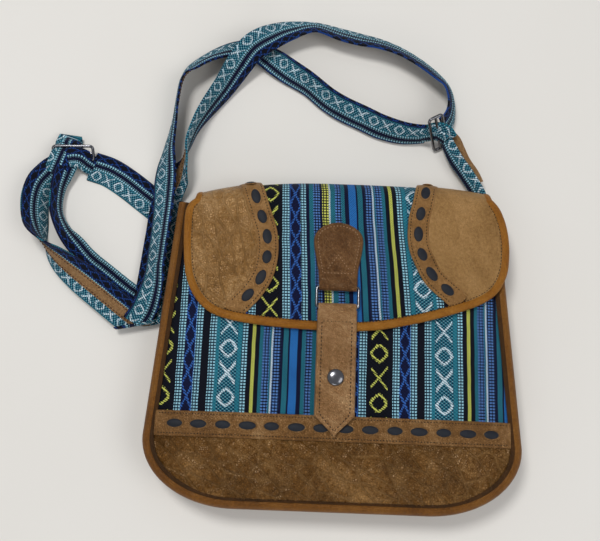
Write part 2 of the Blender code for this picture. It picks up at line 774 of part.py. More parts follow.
def loop_solid(name, y, z, reach_y, reach_z, width, group):
    """The rolled end of a leather strap round a wire, as an outline with a bore, extruded across."""
    side = 1 if reach_y > y else -1
    outline = [(reach_y, reach_z), (reach_y, reach_z + 1.5 * MM)]
    for i in range(17):
        turn = math.radians(70) + math.radians(220) * i / 16
        outline.append((y - side * LOOP_R * math.cos(turn + math.pi), z + LOOP_R * math.sin(turn)))
    curve = bpy.data.curves.new(name, "CURVE")
    curve.dimensions = "2D"
    curve.fill_mode = "BOTH"
    curve.extrude = width / 2
    for ring in (outline, [(y + LOOP_BORE_R * math.cos(math.tau * i / 16), z + LOOP_BORE_R * math.sin(math.tau * i / 16))
                           for i in range(16)]):
        line = curve.splines.new("POLY")
        line.points.add(len(ring) - 1)
        for point, (a, b) in zip(line.points, ring):
            point.co = (a, b, 0.0, 1.0)
        line.use_cyclic_u = True
    obj = new_object(name, curve, group)
    obj.matrix_world = Matrix(((0, 0, 1, CLOSURE_X), (1, 0, 0, 0), (0, 1, 0, 0), (0, 0, 0, 1)))
    return as_mesh(obj)


def make_tab(group, guides, looks):
    levels = list(np.linspace(RING_TOP_Y + 1.0 * MM, 80 * MM, 7))
    levels += [80 * MM + (TAB_TOP_Y - 80 * MM) * math.sin(math.pi / 2 * i / 6) for i in range(1, 7)]
    rows = []
    for y in levels:
        reach = tab_half_width(y)
        rows.append([Vector(on_flap(CLOSURE_X + reach * u, y, PATCH_LOW + TAB_T)) for u in np.linspace(1, -1, 7)])
    tab = sheet("closure_tab", rows, TAB_T, group, looks["dark"])
    seat = flap_under(0, 50 * MM) + PATCH_LOW
    loop = loop_solid("tab_loop", RING_TOP_Y, RING_Z, 51 * MM, seat + 0.2 * MM, TAB_FOOT_W, guides)
    combine(tab, loop, "UNION")
    bore = cylinder("tab_bore", LOOP_BORE_R, TAB_W * 1.5, (CLOSURE_X, RING_TOP_Y, RING_Z), (1, 0, 0), guides, sides=16)
    combine(tab, bore, "DIFFERENCE")


def make_ring(group, looks):
    corner = 1.4 * MM
    points = []
    for sx, sy, start in ((1, 1, 0), (-1, 1, 90), (-1, -1, 180), (1, -1, 270)):
        cx = CLOSURE_X + sx * (RING_HALF_W - corner)
        cy = (RING_TOP_Y + RING_LOW_Y) / 2 + sy * ((RING_TOP_Y - RING_LOW_Y) / 2 - corner)
        for i in range(4):
            turn = math.radians(start + 30 * i)
            points.append((cx + corner * math.cos(turn), cy + corner * math.sin(turn), RING_Z))
    tube("ring", points, RING_WIRE_R, group, looks["metal"], closed=True, resolution=3)


def make_strap(group, guides, looks):
    reach = STRAP_W / 2
    top = STRAP_BACK_Z + STRAP_T
    levels = [RING_LOW_Y - 1.5 * MM, 10 * MM, SNAP_Y, STRAP_SHOULDER_Y, (STRAP_SHOULDER_Y + STRAP_TIP_Y) / 2]
    rows = []
    for y in levels:
        taper = min(1.0, (y - STRAP_TIP_Y) / (STRAP_SHOULDER_Y - STRAP_TIP_Y))
        rows.append([(CLOSURE_X + reach * taper * u, y, top) for u in np.linspace(-1, 1, 5)])
    rows.append([(CLOSURE_X + 1.2 * MM * u, STRAP_TIP_Y, top) for u in np.linspace(-1, 1, 5)])
    strap = sheet("closure_strap", rows, STRAP_T, group, looks["strap"])
    loop = loop_solid("strap_loop", RING_LOW_Y, RING_Z, 12 * MM, STRAP_BACK_Z + 0.6 * MM, STRAP_W, guides)
    combine(strap, loop, "UNION")
    bore = cylinder("strap_bore", LOOP_BORE_R, STRAP_W * 1.5, (CLOSURE_X, RING_LOW_Y, RING_Z), (1, 0, 0),
                    guides, sides=16)
    combine(strap, bore, "DIFFERENCE")
    eyelet = cylinder("snap_hole", SNAP_SHANK_R + GAP, STRAP_T * 4, (CLOSURE_X, SNAP_Y, STRAP_BACK_Z), (0, 0, 1), guides)
    combine(strap, eyelet, "DIFFERENCE")


def make_snap(group, looks):
    top = STRAP_BACK_Z + STRAP_T + GAP
    dome = [(0.0, SNAP_CAP_H)]
    dome += [(SNAP_CAP_R * math.sin(math.pi / 2 * i / 6), 0.8 * MM + (SNAP_CAP_H - 0.8 * MM) * math.cos(math.pi / 2 * i / 6))
             for i in range(1, 7)]
    dome += [(SNAP_CAP_R, 0.0), (SNAP_SHANK_R, 0.0), (SNAP_SHANK_R, -STRAP_T - GAP), (0.0, -STRAP_T - GAP)]
    turned("snap_cap", dome, (CLOSURE_X, SNAP_Y, top), group, looks["metal"])
    face = STRAP_BACK_Z - GAP
    socket = [(0.0, 0.0), (SNAP_SOCKET_R, 0.0), (SNAP_SOCKET_R, -SNAP_SOCKET_T), (SNAP_BORE_R, -SNAP_SOCKET_T),
              (SNAP_BORE_R, -0.4 * MM), (0.0, -0.4 * MM)]
    turned("snap_socket", socket, (CLOSURE_X, SNAP_Y, face), group, looks["metal"])
    base = front_z(CLOSURE_X, SNAP_Y) + GAP
    ball = face - 0.4 * MM - GAP - SNAP_BALL_R
    stud = [(SNAP_BALL_R * math.sin(math.pi * i / 8), ball + SNAP_BALL_R * math.cos(math.pi * i / 8)) for i in range(6)]
    stud += [(SNAP_SHANK_R * 0.8, base + 0.9 * MM), (SNAP_SOCKET_R - 0.6 * MM, base + 0.7 * MM),
             (SNAP_SOCKET_R - 0.6 * MM, base), (0.0, base)]
    turned("snap_stud", stud, (CLOSURE_X, SNAP_Y, 0.0), group, looks["metal"])


# Shoulder strap

def webbing(name, route, group, profile, look):
    dense = spline([Vector((*[c * MM for c in point[:3]], point[3])) for point in route], 2)
    swept(name, [tuple(p[:3]) for p in dense], [p[3] for p in dense], profile, group, look)


def slider(name, middle, across, upward, group, guides, looks):
    """A wire slider: a frame with round corners and a bar across its middle."""
    corner = 2.5 * MM
    centre = Vector(middle) * MM
    across = Vector(across).normalized()
    upward = (Vector(upward) - across * across.dot(Vector(upward))).normalized()
    points = []
    for su, sv, start in ((1, 1, 0), (-1, 1, 90), (-1, -1, 180), (1, -1, 270)):
        for i in range(4):
            turn = math.radians(start + 30 * i)
            u = su * (SLIDER_W / 2 - SLIDER_R - corner) + corner * math.cos(turn)
            v = sv * (SLIDER_H / 2 - corner) + corner * math.sin(turn)
            points.append(tuple(centre + across * u + upward * v))
    frame = as_mesh(tube(name, points, SLIDER_R, group, looks["metal"], closed=True))
    bar = cylinder(name + "_bar", SLIDER_R * 0.9, SLIDER_W - 2 * SLIDER_R, tuple(centre), tuple(across), guides, sides=8)
    combine(frame, bar, "UNION")


def make_shoulder_strap(group, guides, looks):
    profile = bevel_profile("web_profile", flat_outline(WEB_W, WEB_T), guides)
    for name, route in (
        ("short_strap_left", SHORT_LEFT), ("long_strap_a_lower", LONG_A_LOWER), ("long_strap_b_lower", LONG_B_LOWER),
        ("long_strap_a_upper", LONG_A_UPPER), ("long_strap_b_upper", LONG_B_UPPER), ("short_strap_right", SHORT_RIGHT),
    ):
        webbing(name, route, group, profile, looks["web"])
    slider("slider_left", SLIDER_LEFT_MID, (1, 0.03, 0), (0, 0.8, 0.6), group, guides, looks)
    slider("slider_right", SLIDER_RIGHT_MID, (-8.7, 15.7, 27.7), (0.88, 0.48, 0), group, guides, looks)


def make_looks():
    return {
        "cloth": material("jacquard_cloth", (0.03, 0.12, 0.22), 0.85),
        "leather": material("brown_leather", (0.20, 0.11, 0.06), 0.55),
        "patch": material("corner_leather", (0.32, 0.19, 0.10), 0.55),
        "dark": material("dark_leather", (0.14, 0.07, 0.04), 0.5),
        "strap": material("strap_leather", (0.26, 0.15, 0.08), 0.5),
        "tan": material("tan_leather", (0.42, 0.19, 0.05), 0.5),
        "suede": material("navy_suede", (0.02, 0.03, 0.05), 0.95),
        "lining": material("cotton_lining", (0.10, 0.07, 0.05), 0.9),
        "web": material("jacquard_webbing", (0.03, 0.20, 0.30), 0.85),
        "metal": material("nickel", (0.55, 0.55, 0.56), 0.3, 1.0),
    }


def main():
    clear_scene()
    parts = bpy.data.collections.new("satchel")
    guides = bpy.data.collections.new("guides")
    bpy.context.scene.collection.children.link(parts)
    bpy.context.scene.collection.children.link(guides)
    looks = make_looks()
    make_back(parts, looks)
    make_front(parts, looks)
    make_piping(parts, looks)
    make_gusset(parts, looks)
    make_lining(parts, looks)
    make_top_cloth(parts, looks)
    make_front_band(parts, guides, looks)
    make_flap(parts, looks)
    make_binding(parts, guides, looks)
    make_corner("left", LEFT_CORNER_EDGE, -1, parts, guides, looks)
    make_corner("right", RIGHT_CORNER_EDGE, 1, parts, guides, looks)
    make_tab(parts, guides, looks)
    make_ring(parts, looks)
    make_strap(parts, guides, looks)
    make_snap(parts, looks)
    make_shoulder_strap(parts, guides, looks)


main()
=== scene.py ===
"""Dresses the flap satchel: jacquard cotton, laced leather, piping, closure and webbing strap."""

import json
import math

import bpy
import numpy as np
from mathutils import Matrix, Vector, noise
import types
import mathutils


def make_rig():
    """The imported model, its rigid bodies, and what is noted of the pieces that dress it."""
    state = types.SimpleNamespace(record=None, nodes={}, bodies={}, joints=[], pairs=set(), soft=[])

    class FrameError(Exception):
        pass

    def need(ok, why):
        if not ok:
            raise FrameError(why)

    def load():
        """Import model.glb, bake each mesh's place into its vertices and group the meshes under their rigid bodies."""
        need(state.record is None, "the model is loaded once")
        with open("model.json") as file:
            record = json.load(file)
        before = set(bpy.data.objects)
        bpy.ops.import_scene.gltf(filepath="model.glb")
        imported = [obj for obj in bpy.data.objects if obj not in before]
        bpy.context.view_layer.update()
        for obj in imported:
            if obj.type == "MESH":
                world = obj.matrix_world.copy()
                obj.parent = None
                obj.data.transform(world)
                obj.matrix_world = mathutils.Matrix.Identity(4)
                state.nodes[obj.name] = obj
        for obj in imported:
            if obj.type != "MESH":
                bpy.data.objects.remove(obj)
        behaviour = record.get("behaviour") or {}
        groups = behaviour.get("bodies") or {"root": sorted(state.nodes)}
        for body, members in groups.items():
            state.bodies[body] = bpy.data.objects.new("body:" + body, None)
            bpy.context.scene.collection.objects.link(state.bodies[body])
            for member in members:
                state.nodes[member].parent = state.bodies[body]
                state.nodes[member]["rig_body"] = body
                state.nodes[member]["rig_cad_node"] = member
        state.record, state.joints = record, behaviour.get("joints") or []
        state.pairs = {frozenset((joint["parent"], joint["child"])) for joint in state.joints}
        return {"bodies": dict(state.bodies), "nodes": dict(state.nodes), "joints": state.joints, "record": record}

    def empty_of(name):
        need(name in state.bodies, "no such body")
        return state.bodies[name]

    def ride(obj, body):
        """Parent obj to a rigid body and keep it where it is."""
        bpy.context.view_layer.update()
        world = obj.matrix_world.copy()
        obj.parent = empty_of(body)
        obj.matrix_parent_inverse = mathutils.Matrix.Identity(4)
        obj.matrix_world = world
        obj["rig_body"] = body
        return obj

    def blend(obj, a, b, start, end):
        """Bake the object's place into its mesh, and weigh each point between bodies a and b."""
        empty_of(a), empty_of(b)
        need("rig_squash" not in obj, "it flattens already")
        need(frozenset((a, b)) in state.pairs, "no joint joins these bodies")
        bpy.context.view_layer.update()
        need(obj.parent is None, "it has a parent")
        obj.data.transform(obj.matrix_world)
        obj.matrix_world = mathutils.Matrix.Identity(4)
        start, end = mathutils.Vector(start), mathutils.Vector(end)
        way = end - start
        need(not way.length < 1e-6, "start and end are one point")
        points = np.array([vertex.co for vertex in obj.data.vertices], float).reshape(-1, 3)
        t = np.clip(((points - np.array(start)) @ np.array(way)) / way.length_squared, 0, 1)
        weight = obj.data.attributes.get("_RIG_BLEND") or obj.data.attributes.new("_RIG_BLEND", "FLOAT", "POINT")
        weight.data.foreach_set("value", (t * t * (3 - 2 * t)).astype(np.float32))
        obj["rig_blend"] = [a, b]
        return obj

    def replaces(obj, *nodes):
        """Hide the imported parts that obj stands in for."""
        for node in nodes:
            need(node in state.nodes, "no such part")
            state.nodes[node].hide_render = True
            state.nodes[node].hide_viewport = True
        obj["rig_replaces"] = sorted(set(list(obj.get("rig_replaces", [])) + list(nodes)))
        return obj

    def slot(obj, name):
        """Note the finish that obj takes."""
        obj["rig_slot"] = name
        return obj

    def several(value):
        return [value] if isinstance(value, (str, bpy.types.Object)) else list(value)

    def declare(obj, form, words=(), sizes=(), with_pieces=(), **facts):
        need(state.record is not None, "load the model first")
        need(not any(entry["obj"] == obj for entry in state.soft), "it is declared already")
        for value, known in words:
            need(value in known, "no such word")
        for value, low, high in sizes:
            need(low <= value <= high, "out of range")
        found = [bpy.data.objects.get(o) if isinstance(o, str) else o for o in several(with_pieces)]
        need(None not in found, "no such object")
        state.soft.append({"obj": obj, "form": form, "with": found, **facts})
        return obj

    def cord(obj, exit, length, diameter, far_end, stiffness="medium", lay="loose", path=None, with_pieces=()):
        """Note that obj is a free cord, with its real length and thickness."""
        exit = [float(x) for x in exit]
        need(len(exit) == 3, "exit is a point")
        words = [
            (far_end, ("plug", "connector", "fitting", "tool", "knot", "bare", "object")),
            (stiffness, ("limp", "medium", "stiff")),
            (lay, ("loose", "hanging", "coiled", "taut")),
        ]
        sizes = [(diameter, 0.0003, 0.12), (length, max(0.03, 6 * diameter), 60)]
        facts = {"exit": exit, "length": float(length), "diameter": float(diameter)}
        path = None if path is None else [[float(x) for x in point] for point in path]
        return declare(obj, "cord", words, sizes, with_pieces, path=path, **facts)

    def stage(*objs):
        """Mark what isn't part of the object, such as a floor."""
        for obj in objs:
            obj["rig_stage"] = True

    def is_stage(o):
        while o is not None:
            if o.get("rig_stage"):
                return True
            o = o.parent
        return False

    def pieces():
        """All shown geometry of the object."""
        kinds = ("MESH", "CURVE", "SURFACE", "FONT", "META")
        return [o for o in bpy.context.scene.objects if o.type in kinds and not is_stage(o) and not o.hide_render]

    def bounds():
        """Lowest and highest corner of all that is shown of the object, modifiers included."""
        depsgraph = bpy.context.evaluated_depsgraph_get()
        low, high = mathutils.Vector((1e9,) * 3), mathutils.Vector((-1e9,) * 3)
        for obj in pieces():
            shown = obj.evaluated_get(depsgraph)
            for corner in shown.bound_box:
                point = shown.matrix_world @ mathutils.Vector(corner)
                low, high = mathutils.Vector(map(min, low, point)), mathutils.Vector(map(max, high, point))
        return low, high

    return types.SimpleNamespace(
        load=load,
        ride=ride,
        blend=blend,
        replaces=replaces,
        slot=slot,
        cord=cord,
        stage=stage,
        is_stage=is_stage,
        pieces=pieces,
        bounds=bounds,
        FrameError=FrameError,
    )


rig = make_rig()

MM = 0.001
PHOTO_LENS_MM = 50.0
CAMERA_AT = (-0.0287, -0.0785, 0.6602)
CAMERA_TILT_DEG = 12.0
CAMERA_ROLL_DEG = 2.2

# The bag's surfaces, with the same values as its source
BOTTOM_Y = -124 * MM
CORNER_Y = -74 * MM
MOUTH_Y = 100 * MM
SEAM_TOP_Y = 108 * MM
HALF_WIDTH = 141 * MM
SIDE_SLOPE = 0.077
CORNER_RX = 70 * MM
PIPING_R = 4.0 * MM
PIPING_Z_BOTTOM = 30 * MM
PIPING_Z_TOP = 22 * MM
PANEL_RISE = 1.5 * MM
FRONT_PUFF = 9 * MM
MOUTH_PUFF = 2.5 * MM
SEAM_INSET = 8.3 * MM
BAND_Y = -64 * MM
BAND_H = 18 * MM
BAND_LOW = 1.1 * MM
BAND_T = 1.2 * MM
FOLD_Y = 130.5 * MM
FOLD_BOW = 18.4 * MM
FOLD_MID_X = 20 * MM
FOLD_HALF = 145 * MM
FOLD_R = 15.2 * MM
FOLD_T = 2.6 * MM
HINGE = math.radians(50.0)
HINGE_ARC = FOLD_R * (math.pi / 2 - HINGE)
FLAP_EDGE = [
    (-112, None), (-118.5, 104), (-120.6, 92), (-119.4, 66), (-115.5, 44), (-105, 26), (-88, 15.6),
    (-58, 10.6), (-20, 8.3), (20, 8.7), (52, 14), (82, 22.2), (107, 31.5), (122.5, 41.5),
    (131, 56), (133.6, 75), (132.2, 93), (127.5, 108), (120, None),
]
FLAP_LEFT_CORNER = 5
FLAP_RIGHT_CORNER = 12
BINDING_W = 7.0 * MM
LEFT_CORNER_EDGE = [(-56, 110), (-48, 86), (-46.2, 66), (-49.6, 47), (-57.5, 32.5), (-69, 19)]
RIGHT_CORNER_EDGE = [(58, 113), (54.8, 98), (54.6, 78), (59.6, 62), (68, 46.5), (84.5, 32)]
CORNER_BAND_W = 16 * MM
PATCH_H = 2.9 * MM
PATCH_T = 1.2 * MM
CLOSURE_X = 0.4 * MM
RING_Z = 42.6 * MM
RING_TOP_Y = 41 * MM
RING_LOW_Y = 25.8 * MM
RING_HALF_W = 15.8 * MM
STRAP_BACK_Z = 42.2 * MM
STRAP_T = 2.8 * MM
STRAP_HALF_W = 14.2 * MM
STRAP_SHOULDER_Y = -55 * MM
STRAP_TIP_Y = -69.5 * MM
SNAP_Y = -27 * MM

# Where the flap bends as it opens
BLEND_START = (0.0, 126.8 * MM, 21.1 * MM)
BLEND_END = (0.0, 123.2 * MM, 32.5 * MM)

# Webbing routes, as in the bag's source: x, y, z in millimetres and the roll in degrees
WEB_W = 25 * MM
WEB_T = 2.4 * MM
SHORT_LEFT = [(-127.8, 103.2, 1.5, 0), (-136, 104, 1.5, 0), (-145, 108.5, 1.5, 0), (-157, 117, 1.5, 0),
              (-172, 128, 1.5, 0), (-188.5, 138, 1.5, 0), (-204, 143, 1.6, 0)]
LONG_A_LOWER = [(-229.5, 141, 5.6, 0), (-236, 132.5, 7.6, 20), (-242, 122, 10.3, 40),
                (-244.5, 107, 11.2, 48), (-241.5, 89, 11.8, 58), (-234.5, 75, 12.9, 92),
                (-222, 62.5, 11.5, 130), (-204, 48.5, 9.5, 158), (-186, 35, 7.6, 172),
                (-168, 21.5, 7.0, 178), (-154, 11.5, 7.0, 180)]
LONG_B_LOWER = [(-221, 143.5, 9.3, 0), (-223.8, 134, 10.6, 30), (-226.5, 120, 12.2, 60),
                (-226, 101, 12.5, 66), (-218.5, 85, 11.6, 52), (-210, 75, 7.2, 20),
                (-200, 64.5, 3.5, 5), (-182, 51, 1.7, 0), (-166, 39.5, 1.6, 0), (-153, 31, 1.6, 0)]
CORNER_CREASE = ((-157, 12), 12)
HIDDEN_CREASE = ((-148, 11), 14)
LEFT_WRAP = [(-232, 133, 9.0, 0), (-228.5, 142, 11.5, 0), (-226, 150.5, 11, 0), (-224.5, 156.3, 8.9, 0),
             (-224, 160.5, 8.5, 0), (-223.5, 164, 5.6, 0), (-223.5, 161, 2.9, 0), (-223.5, 152, 2.2, 0)]
RIGHT_WRAP = [(66, 177, 13.5, -66), (73, 177.5, 15.5, -62), (79, 178.5, 17, -58), (85, 177.5, 16, -62),
              (89.5, 174, 13.5, -70)]
LEFT_BRIDGE = [(-202, 142.5, 1.6, 0), (-206, 144, 6, 0), (-211, 146.5, 11.2, 0), (-218, 147, 12, 0),
               (-225, 145, 10, 0),
               (-229.5, 141, 5.6, 0)]
RIGHT_BRIDGE = [(70.2, 177.2, 12.9, -70), (76, 177.3, 12.9, -72), (82, 175.5, 12.9, -75),
                (87, 172, 12.9, -75)]
RIGHT_LEATHER = [(87, 180, 12, -30), (94, 174, 13, -30), (98, 166, 12.5, -25), (103, 156, 11.5, -20),
                 (110, 146, 10.5, -20),
                 (114, 138, 10, -20)]
LONG_A_UPPER = [(-157, 12, 9.9, 0), (-151.8, 21.5, 9.9, 0), (-148, 31.5, 11.5, 8), (-145, 44, 13.8, 28),
                (-144, 57, 15, 40), (-143, 72, 15, 40), (-141.8, 90, 15, 40), (-141, 110, 15, 36),
                (-141.2, 128, 13.8, 30), (-141.3, 144, 13.2, 42), (-140.7, 157, 12.5, 58),
                (-137.7, 180, 12.7, 72), (-136, 200, 13, 80), (-133.5, 218, 13, 76),
                (-126.7, 229.5, 11.6, 55), (-113.5, 240, 10.8, 48), (-99, 247.5, 9.6, 38),
                (-86, 251, 7.8, 28), (-74, 250, 6.8, 22), (-62, 244, 6.6, 5), (-45, 231, 8.7, -30),
                (-28, 219, 11, -48), (-12, 206, 11, -46), (1.4, 198, 10.5, -42), (18, 190.5, 10.5, -42),
                (33, 183.5, 10.8, -44), (49, 178.5, 11.7, -54), (61, 177, 12.5, -64),
                (70.2, 177.2, 12.9, -70)]
LONG_B_UPPER = [(-149.5, 11, 4.3, 180), (-149, 24, 4.3, 180), (-147, 45, 4.3, 180),
                (-145, 68, 3.6, 180), (-143, 88, 4.2, 180), (-141.5, 105, 4.4, 180),
                (-138, 121, 4.6, 180), (-132, 133, 6.9, 198), (-127, 145, 12, 240),
                (-124, 160, 12.9, 268), (-118.5, 177, 12.9, 276), (-110.5, 192, 12.7, 288),
                (-97, 213, 12.8, 305), (-85.5, 232, 16.5, 325), (-75.5, 245.5, 19.8, 340),
                (-63, 256.5, 17.2, 355), (-47, 266.5, 12.4, 380), (-24, 272, 11, 405),
                (-1, 266.5, 10, 400), (15, 262.5, 10.2, 400), (31.5, 259, 10.8, 405),
                (49, 252.5, 11.2, 410), (67, 241.5, 11.7, 413), (82, 229, 12, 417),
                (89.5, 219.5, 12.6, 425), (92.5, 207, 12.9, 428), (92, 196, 12.9, 426),
                (89, 187.5, 13.6, 420), (84.5, 182, 14.6, 415)]
SHORT_RIGHT = [(87, 172, 12.9, -60), (90.5, 165, 12.7, -48), (95.5, 156, 12.2, -40), (102.5, 146, 12.1, -40),
               (109, 136, 11.8, -42), (114, 127, 11.6, -48), (117, 118, 11.6, -54), (118.5, 108.9, 11.6, -55)]

# Stripes of the cloth over one repeat: width in mm, weave, ground colour, figure colour
NIGHT = "#070b1a"
NAVY = "#0a1238"
TEAL = "#2b7d8f"
DEEP_TEAL = "#082638"
SKY = "#9fd4e4"
ROYAL = "#2c77bb"
COBALT = "#1f4f9a"
AZURE = "#3566b4"
OLIVE = "#6f7430"
LEMON = "#d5d765"
WHITE = "#dcecf2"
LILAC = "#5a86c8"
CLOTH_STRIPES = [
    (19.3, "motif", TEAL, WHITE), (4.4, "dash", DEEP_TEAL, SKY), (3.0, "plain", NIGHT, NIGHT),
    (3.0, "plain", OLIVE, LEMON), (2.9, "plain", NIGHT, NIGHT), (2.3, "plain", DEEP_TEAL, TEAL),
    (5.2, "dash", NIGHT, LILAC), (1.6, "plain", DEEP_TEAL, TEAL), (1.3, "plain", NAVY, WHITE),
    (5.2, "dash", NIGHT, LILAC), (2.3, "plain", NIGHT, NAVY), (3.7, "plain", DEEP_TEAL, TEAL),
    (1.5, "plain", NIGHT, NAVY), (5.2, "plain", COBALT, ROYAL), (3.7, "plain", NIGHT, NAVY),
    (2.9, "plain", DEEP_TEAL, TEAL), (4.5, "dash", NIGHT, LILAC), (3.7, "plain", DEEP_TEAL, TEAL),
    (1.4, "plain", NAVY, WHITE), (5.0, "dash", NIGHT, LEMON), (2.2, "plain", NIGHT, NAVY),
    (5.0, "dash", NIGHT, LILAC), (3.0, "plain", DEEP_TEAL, TEAL), (2.2, "plain", NIGHT, NAVY),
    (4.6, "dash", DEEP_TEAL, SKY), (8.6, "lattice", NAVY, AZURE), (5.2, "dash", DEEP_TEAL, SKY),
    (20.1, "motif", NIGHT, LEMON), (5.2, "dash", DEEP_TEAL, SKY), (8.1, "lattice", NAVY, AZURE),
    (5.2, "dash", DEEP_TEAL, SKY), (5.6, "plain", NIGHT, NIGHT), (5.2, "dash", DEEP_TEAL, SKY),
]
WEB_STRIPES = [
    (0.8, "plain", DEEP_TEAL, TEAL), (9.2, "motif", TEAL, WHITE), (2.6, "dash", DEEP_TEAL, SKY),
    (2.8, "plain", NIGHT, NAVY), (2.6, "dash", DEEP_TEAL, SKY), (6.2, "lattice", NIGHT, "#1a4288"),
    (0.8, "plain", NIGHT, NAVY),
]
KINDS = {"plain": 0.0, "dash": 0.33, "motif": 0.66, "lattice": 1.0}
FRONT_SHIFT = 89.8
FLAP_SHIFT = 68.9


def set_lights_and_camera():
    scene = bpy.context.scene
    scene.view_settings.view_transform = "Standard"
    camera = bpy.data.objects.new("camera", bpy.data.cameras.new("camera"))
    scene.collection.objects.link(camera)
    camera.data.lens = PHOTO_LENS_MM
    camera.data.sensor_width = 36
    camera.data.clip_start = 0.01
    camera.matrix_world = (
        Matrix.Translation(CAMERA_AT)
        @ Matrix.Rotation(math.radians(CAMERA_TILT_DEG), 4, "X")
        @ Matrix.Rotation(math.radians(CAMERA_ROLL_DEG), 4, "Z")
    )
    scene.camera = camera
    for name, place, size, power in (
        ("key_light", (-0.55, 0.65, 1.9), 0.6, 19.5),
        ("fill_light", (1.2, -0.5, 1.6), 1.2, 9.0),
        ("low_light", (-0.2, -1.3, 0.6), 0.8, 3.0),
    ):
        data = bpy.data.lights.new(name, "AREA")
        data.shape = "DISK"
        data.size = size
        data.energy = power
        light = bpy.data.objects.new(name, data)
        scene.collection.objects.link(light)
        light.location = place
        light.rotation_euler = (Vector((-0.04, 0.06,
                                        0.02)) - Vector(place)).to_track_quat("-Z", "Y").to_euler()
    world = bpy.data.worlds.new("studio")
    scene.world = world
    world.use_nodes = True
    world.node_tree.nodes["Background"].inputs["Color"].default_value = (0.93, 0.95, 1.0, 1.0)
    world.node_tree.nodes["Background"].inputs["Strength"].default_value = 0.4


def linear(code):
    parts = [int(code[i:i + 2], 16) / 255 for i in (1, 3, 5)]
    return [c / 12.92 if c <= 0.04045 else ((c + 0.055) / 1.055) ** 2.4 for c in parts]


# Shader helpers

class Graph:
    """Short calls for the nodes of one material."""

    def __init__(self, name):
        self.material = bpy.data.materials.new(name)
        self.material.use_nodes = True
        self.tree = self.material.node_tree
        self.shader = self.tree.nodes["Principled BSDF"]

    def node(self, kind, **settings):
        made = self.tree.nodes.new(kind)
        for key, value in settings.items():
            setattr(made, key, value)
        return made

    def put(self, socket, value):
        if isinstance(value, bpy.types.NodeSocket):
            self.tree.links.new(value, socket)
        elif isinstance(value, (tuple, list)) and len(value) == 3 and socket.type == "RGBA":
            socket.default_value = (*value, 1.0)
        else:
            socket.default_value = value

    def math(self, operation, *values, clamp=False):
        made = self.node("ShaderNodeMath", operation=operation, use_clamp=clamp)
        for socket, value in zip(made.inputs, values):
            self.put(socket, value)
        return made.outputs[0]

    def mix(self, share, a, b, blend="MIX"):
        made = self.node("ShaderNodeMix", data_type="RGBA", blend_type=blend)
        self.put(made.inputs[0], share)
        self.put(made.inputs[6], a)
        self.put(made.inputs[7], b)
        return made.outputs[2]

    def ramp(self, value, stops, smooth=True):
        made = self.node("ShaderNodeValToRGB")
        made.color_ramp.interpolation = "LINEAR" if smooth else "CONSTANT"
        elements = made.color_ramp.elements
        while len(elements) < len(stops):
            elements.new(1.0)
        for element, (place, color) in zip(elements, stops):
            element.position = place
            element.color = (*color[:3], color[3] if len(color) > 3 else 1.0)
        self.put(made.inputs[0], value)
        return made

    def noise(self, vector, scale, detail=2.0, rough=0.5, kind="ShaderNodeTexNoise"):
        made = self.node(kind)
        self.put(made.inputs["Vector"], vector)
        made.inputs["Scale"].default_value = scale
        if "Detail" in made.inputs:
            made.inputs["Detail"].default_value = detail
        if kind == "ShaderNodeTexNoise":
            made.inputs["Roughness"].default_value = rough
            return made.outputs[0]
        return made.outputs["Distance"]

    def place(self, stretch=1.0, turn=0.0, source=None):
        """Object position in metres, stretched along a line at an angle from the Y axis."""
        mapping = self.node("ShaderNodeMapping", vector_type="TEXTURE")
        mapping.inputs["Scale"].default_value = (1.0, stretch, 1.0)
        mapping.inputs["Rotation"].default_value = (0, 0, turn)
        self.put(mapping.inputs["Vector"], source or self.node("ShaderNodeTexCoord").outputs["Object"])
        return mapping.outputs[0]

    def bump(self, height, depth, strength=1.0):
        made = self.node("ShaderNodeBump")
        made.inputs["Strength"].default_value = strength
        made.inputs["Distance"].default_value = depth
        self.put(made.inputs["Height"], height)
        self.put(self.shader.inputs["Normal"], made.outputs[0])

    def finish(self, color, rough, metallic=0.0, sheen=0.0, specular=0.5):
        self.put(self.shader.inputs["Base Color"], color)
        self.put(self.shader.inputs["Roughness"], rough)
        self.shader.inputs["Metallic"].default_value = metallic
        self.shader.inputs["Sheen Weight"].default_value = sheen
        self.shader.inputs["Specular IOR Level"].default_value = specular
        return self.material


def cell(graph, value, size, low, high):
    """1 inside the given share of each repeat of a length in millimetres."""
    place = graph.math("FRACT", graph.math("DIVIDE", value, size))
    above = graph.math("GREATER_THAN", place, low)
    below = graph.math("LESS_THAN", place, high)
    return graph.math("MULTIPLY", above, below)


def snapped(graph, value, size):
    return graph.math("MULTIPLY",
                      graph.math("ADD", graph.math("FLOOR", graph.math("DIVIDE", value, size)), 0.5), size)


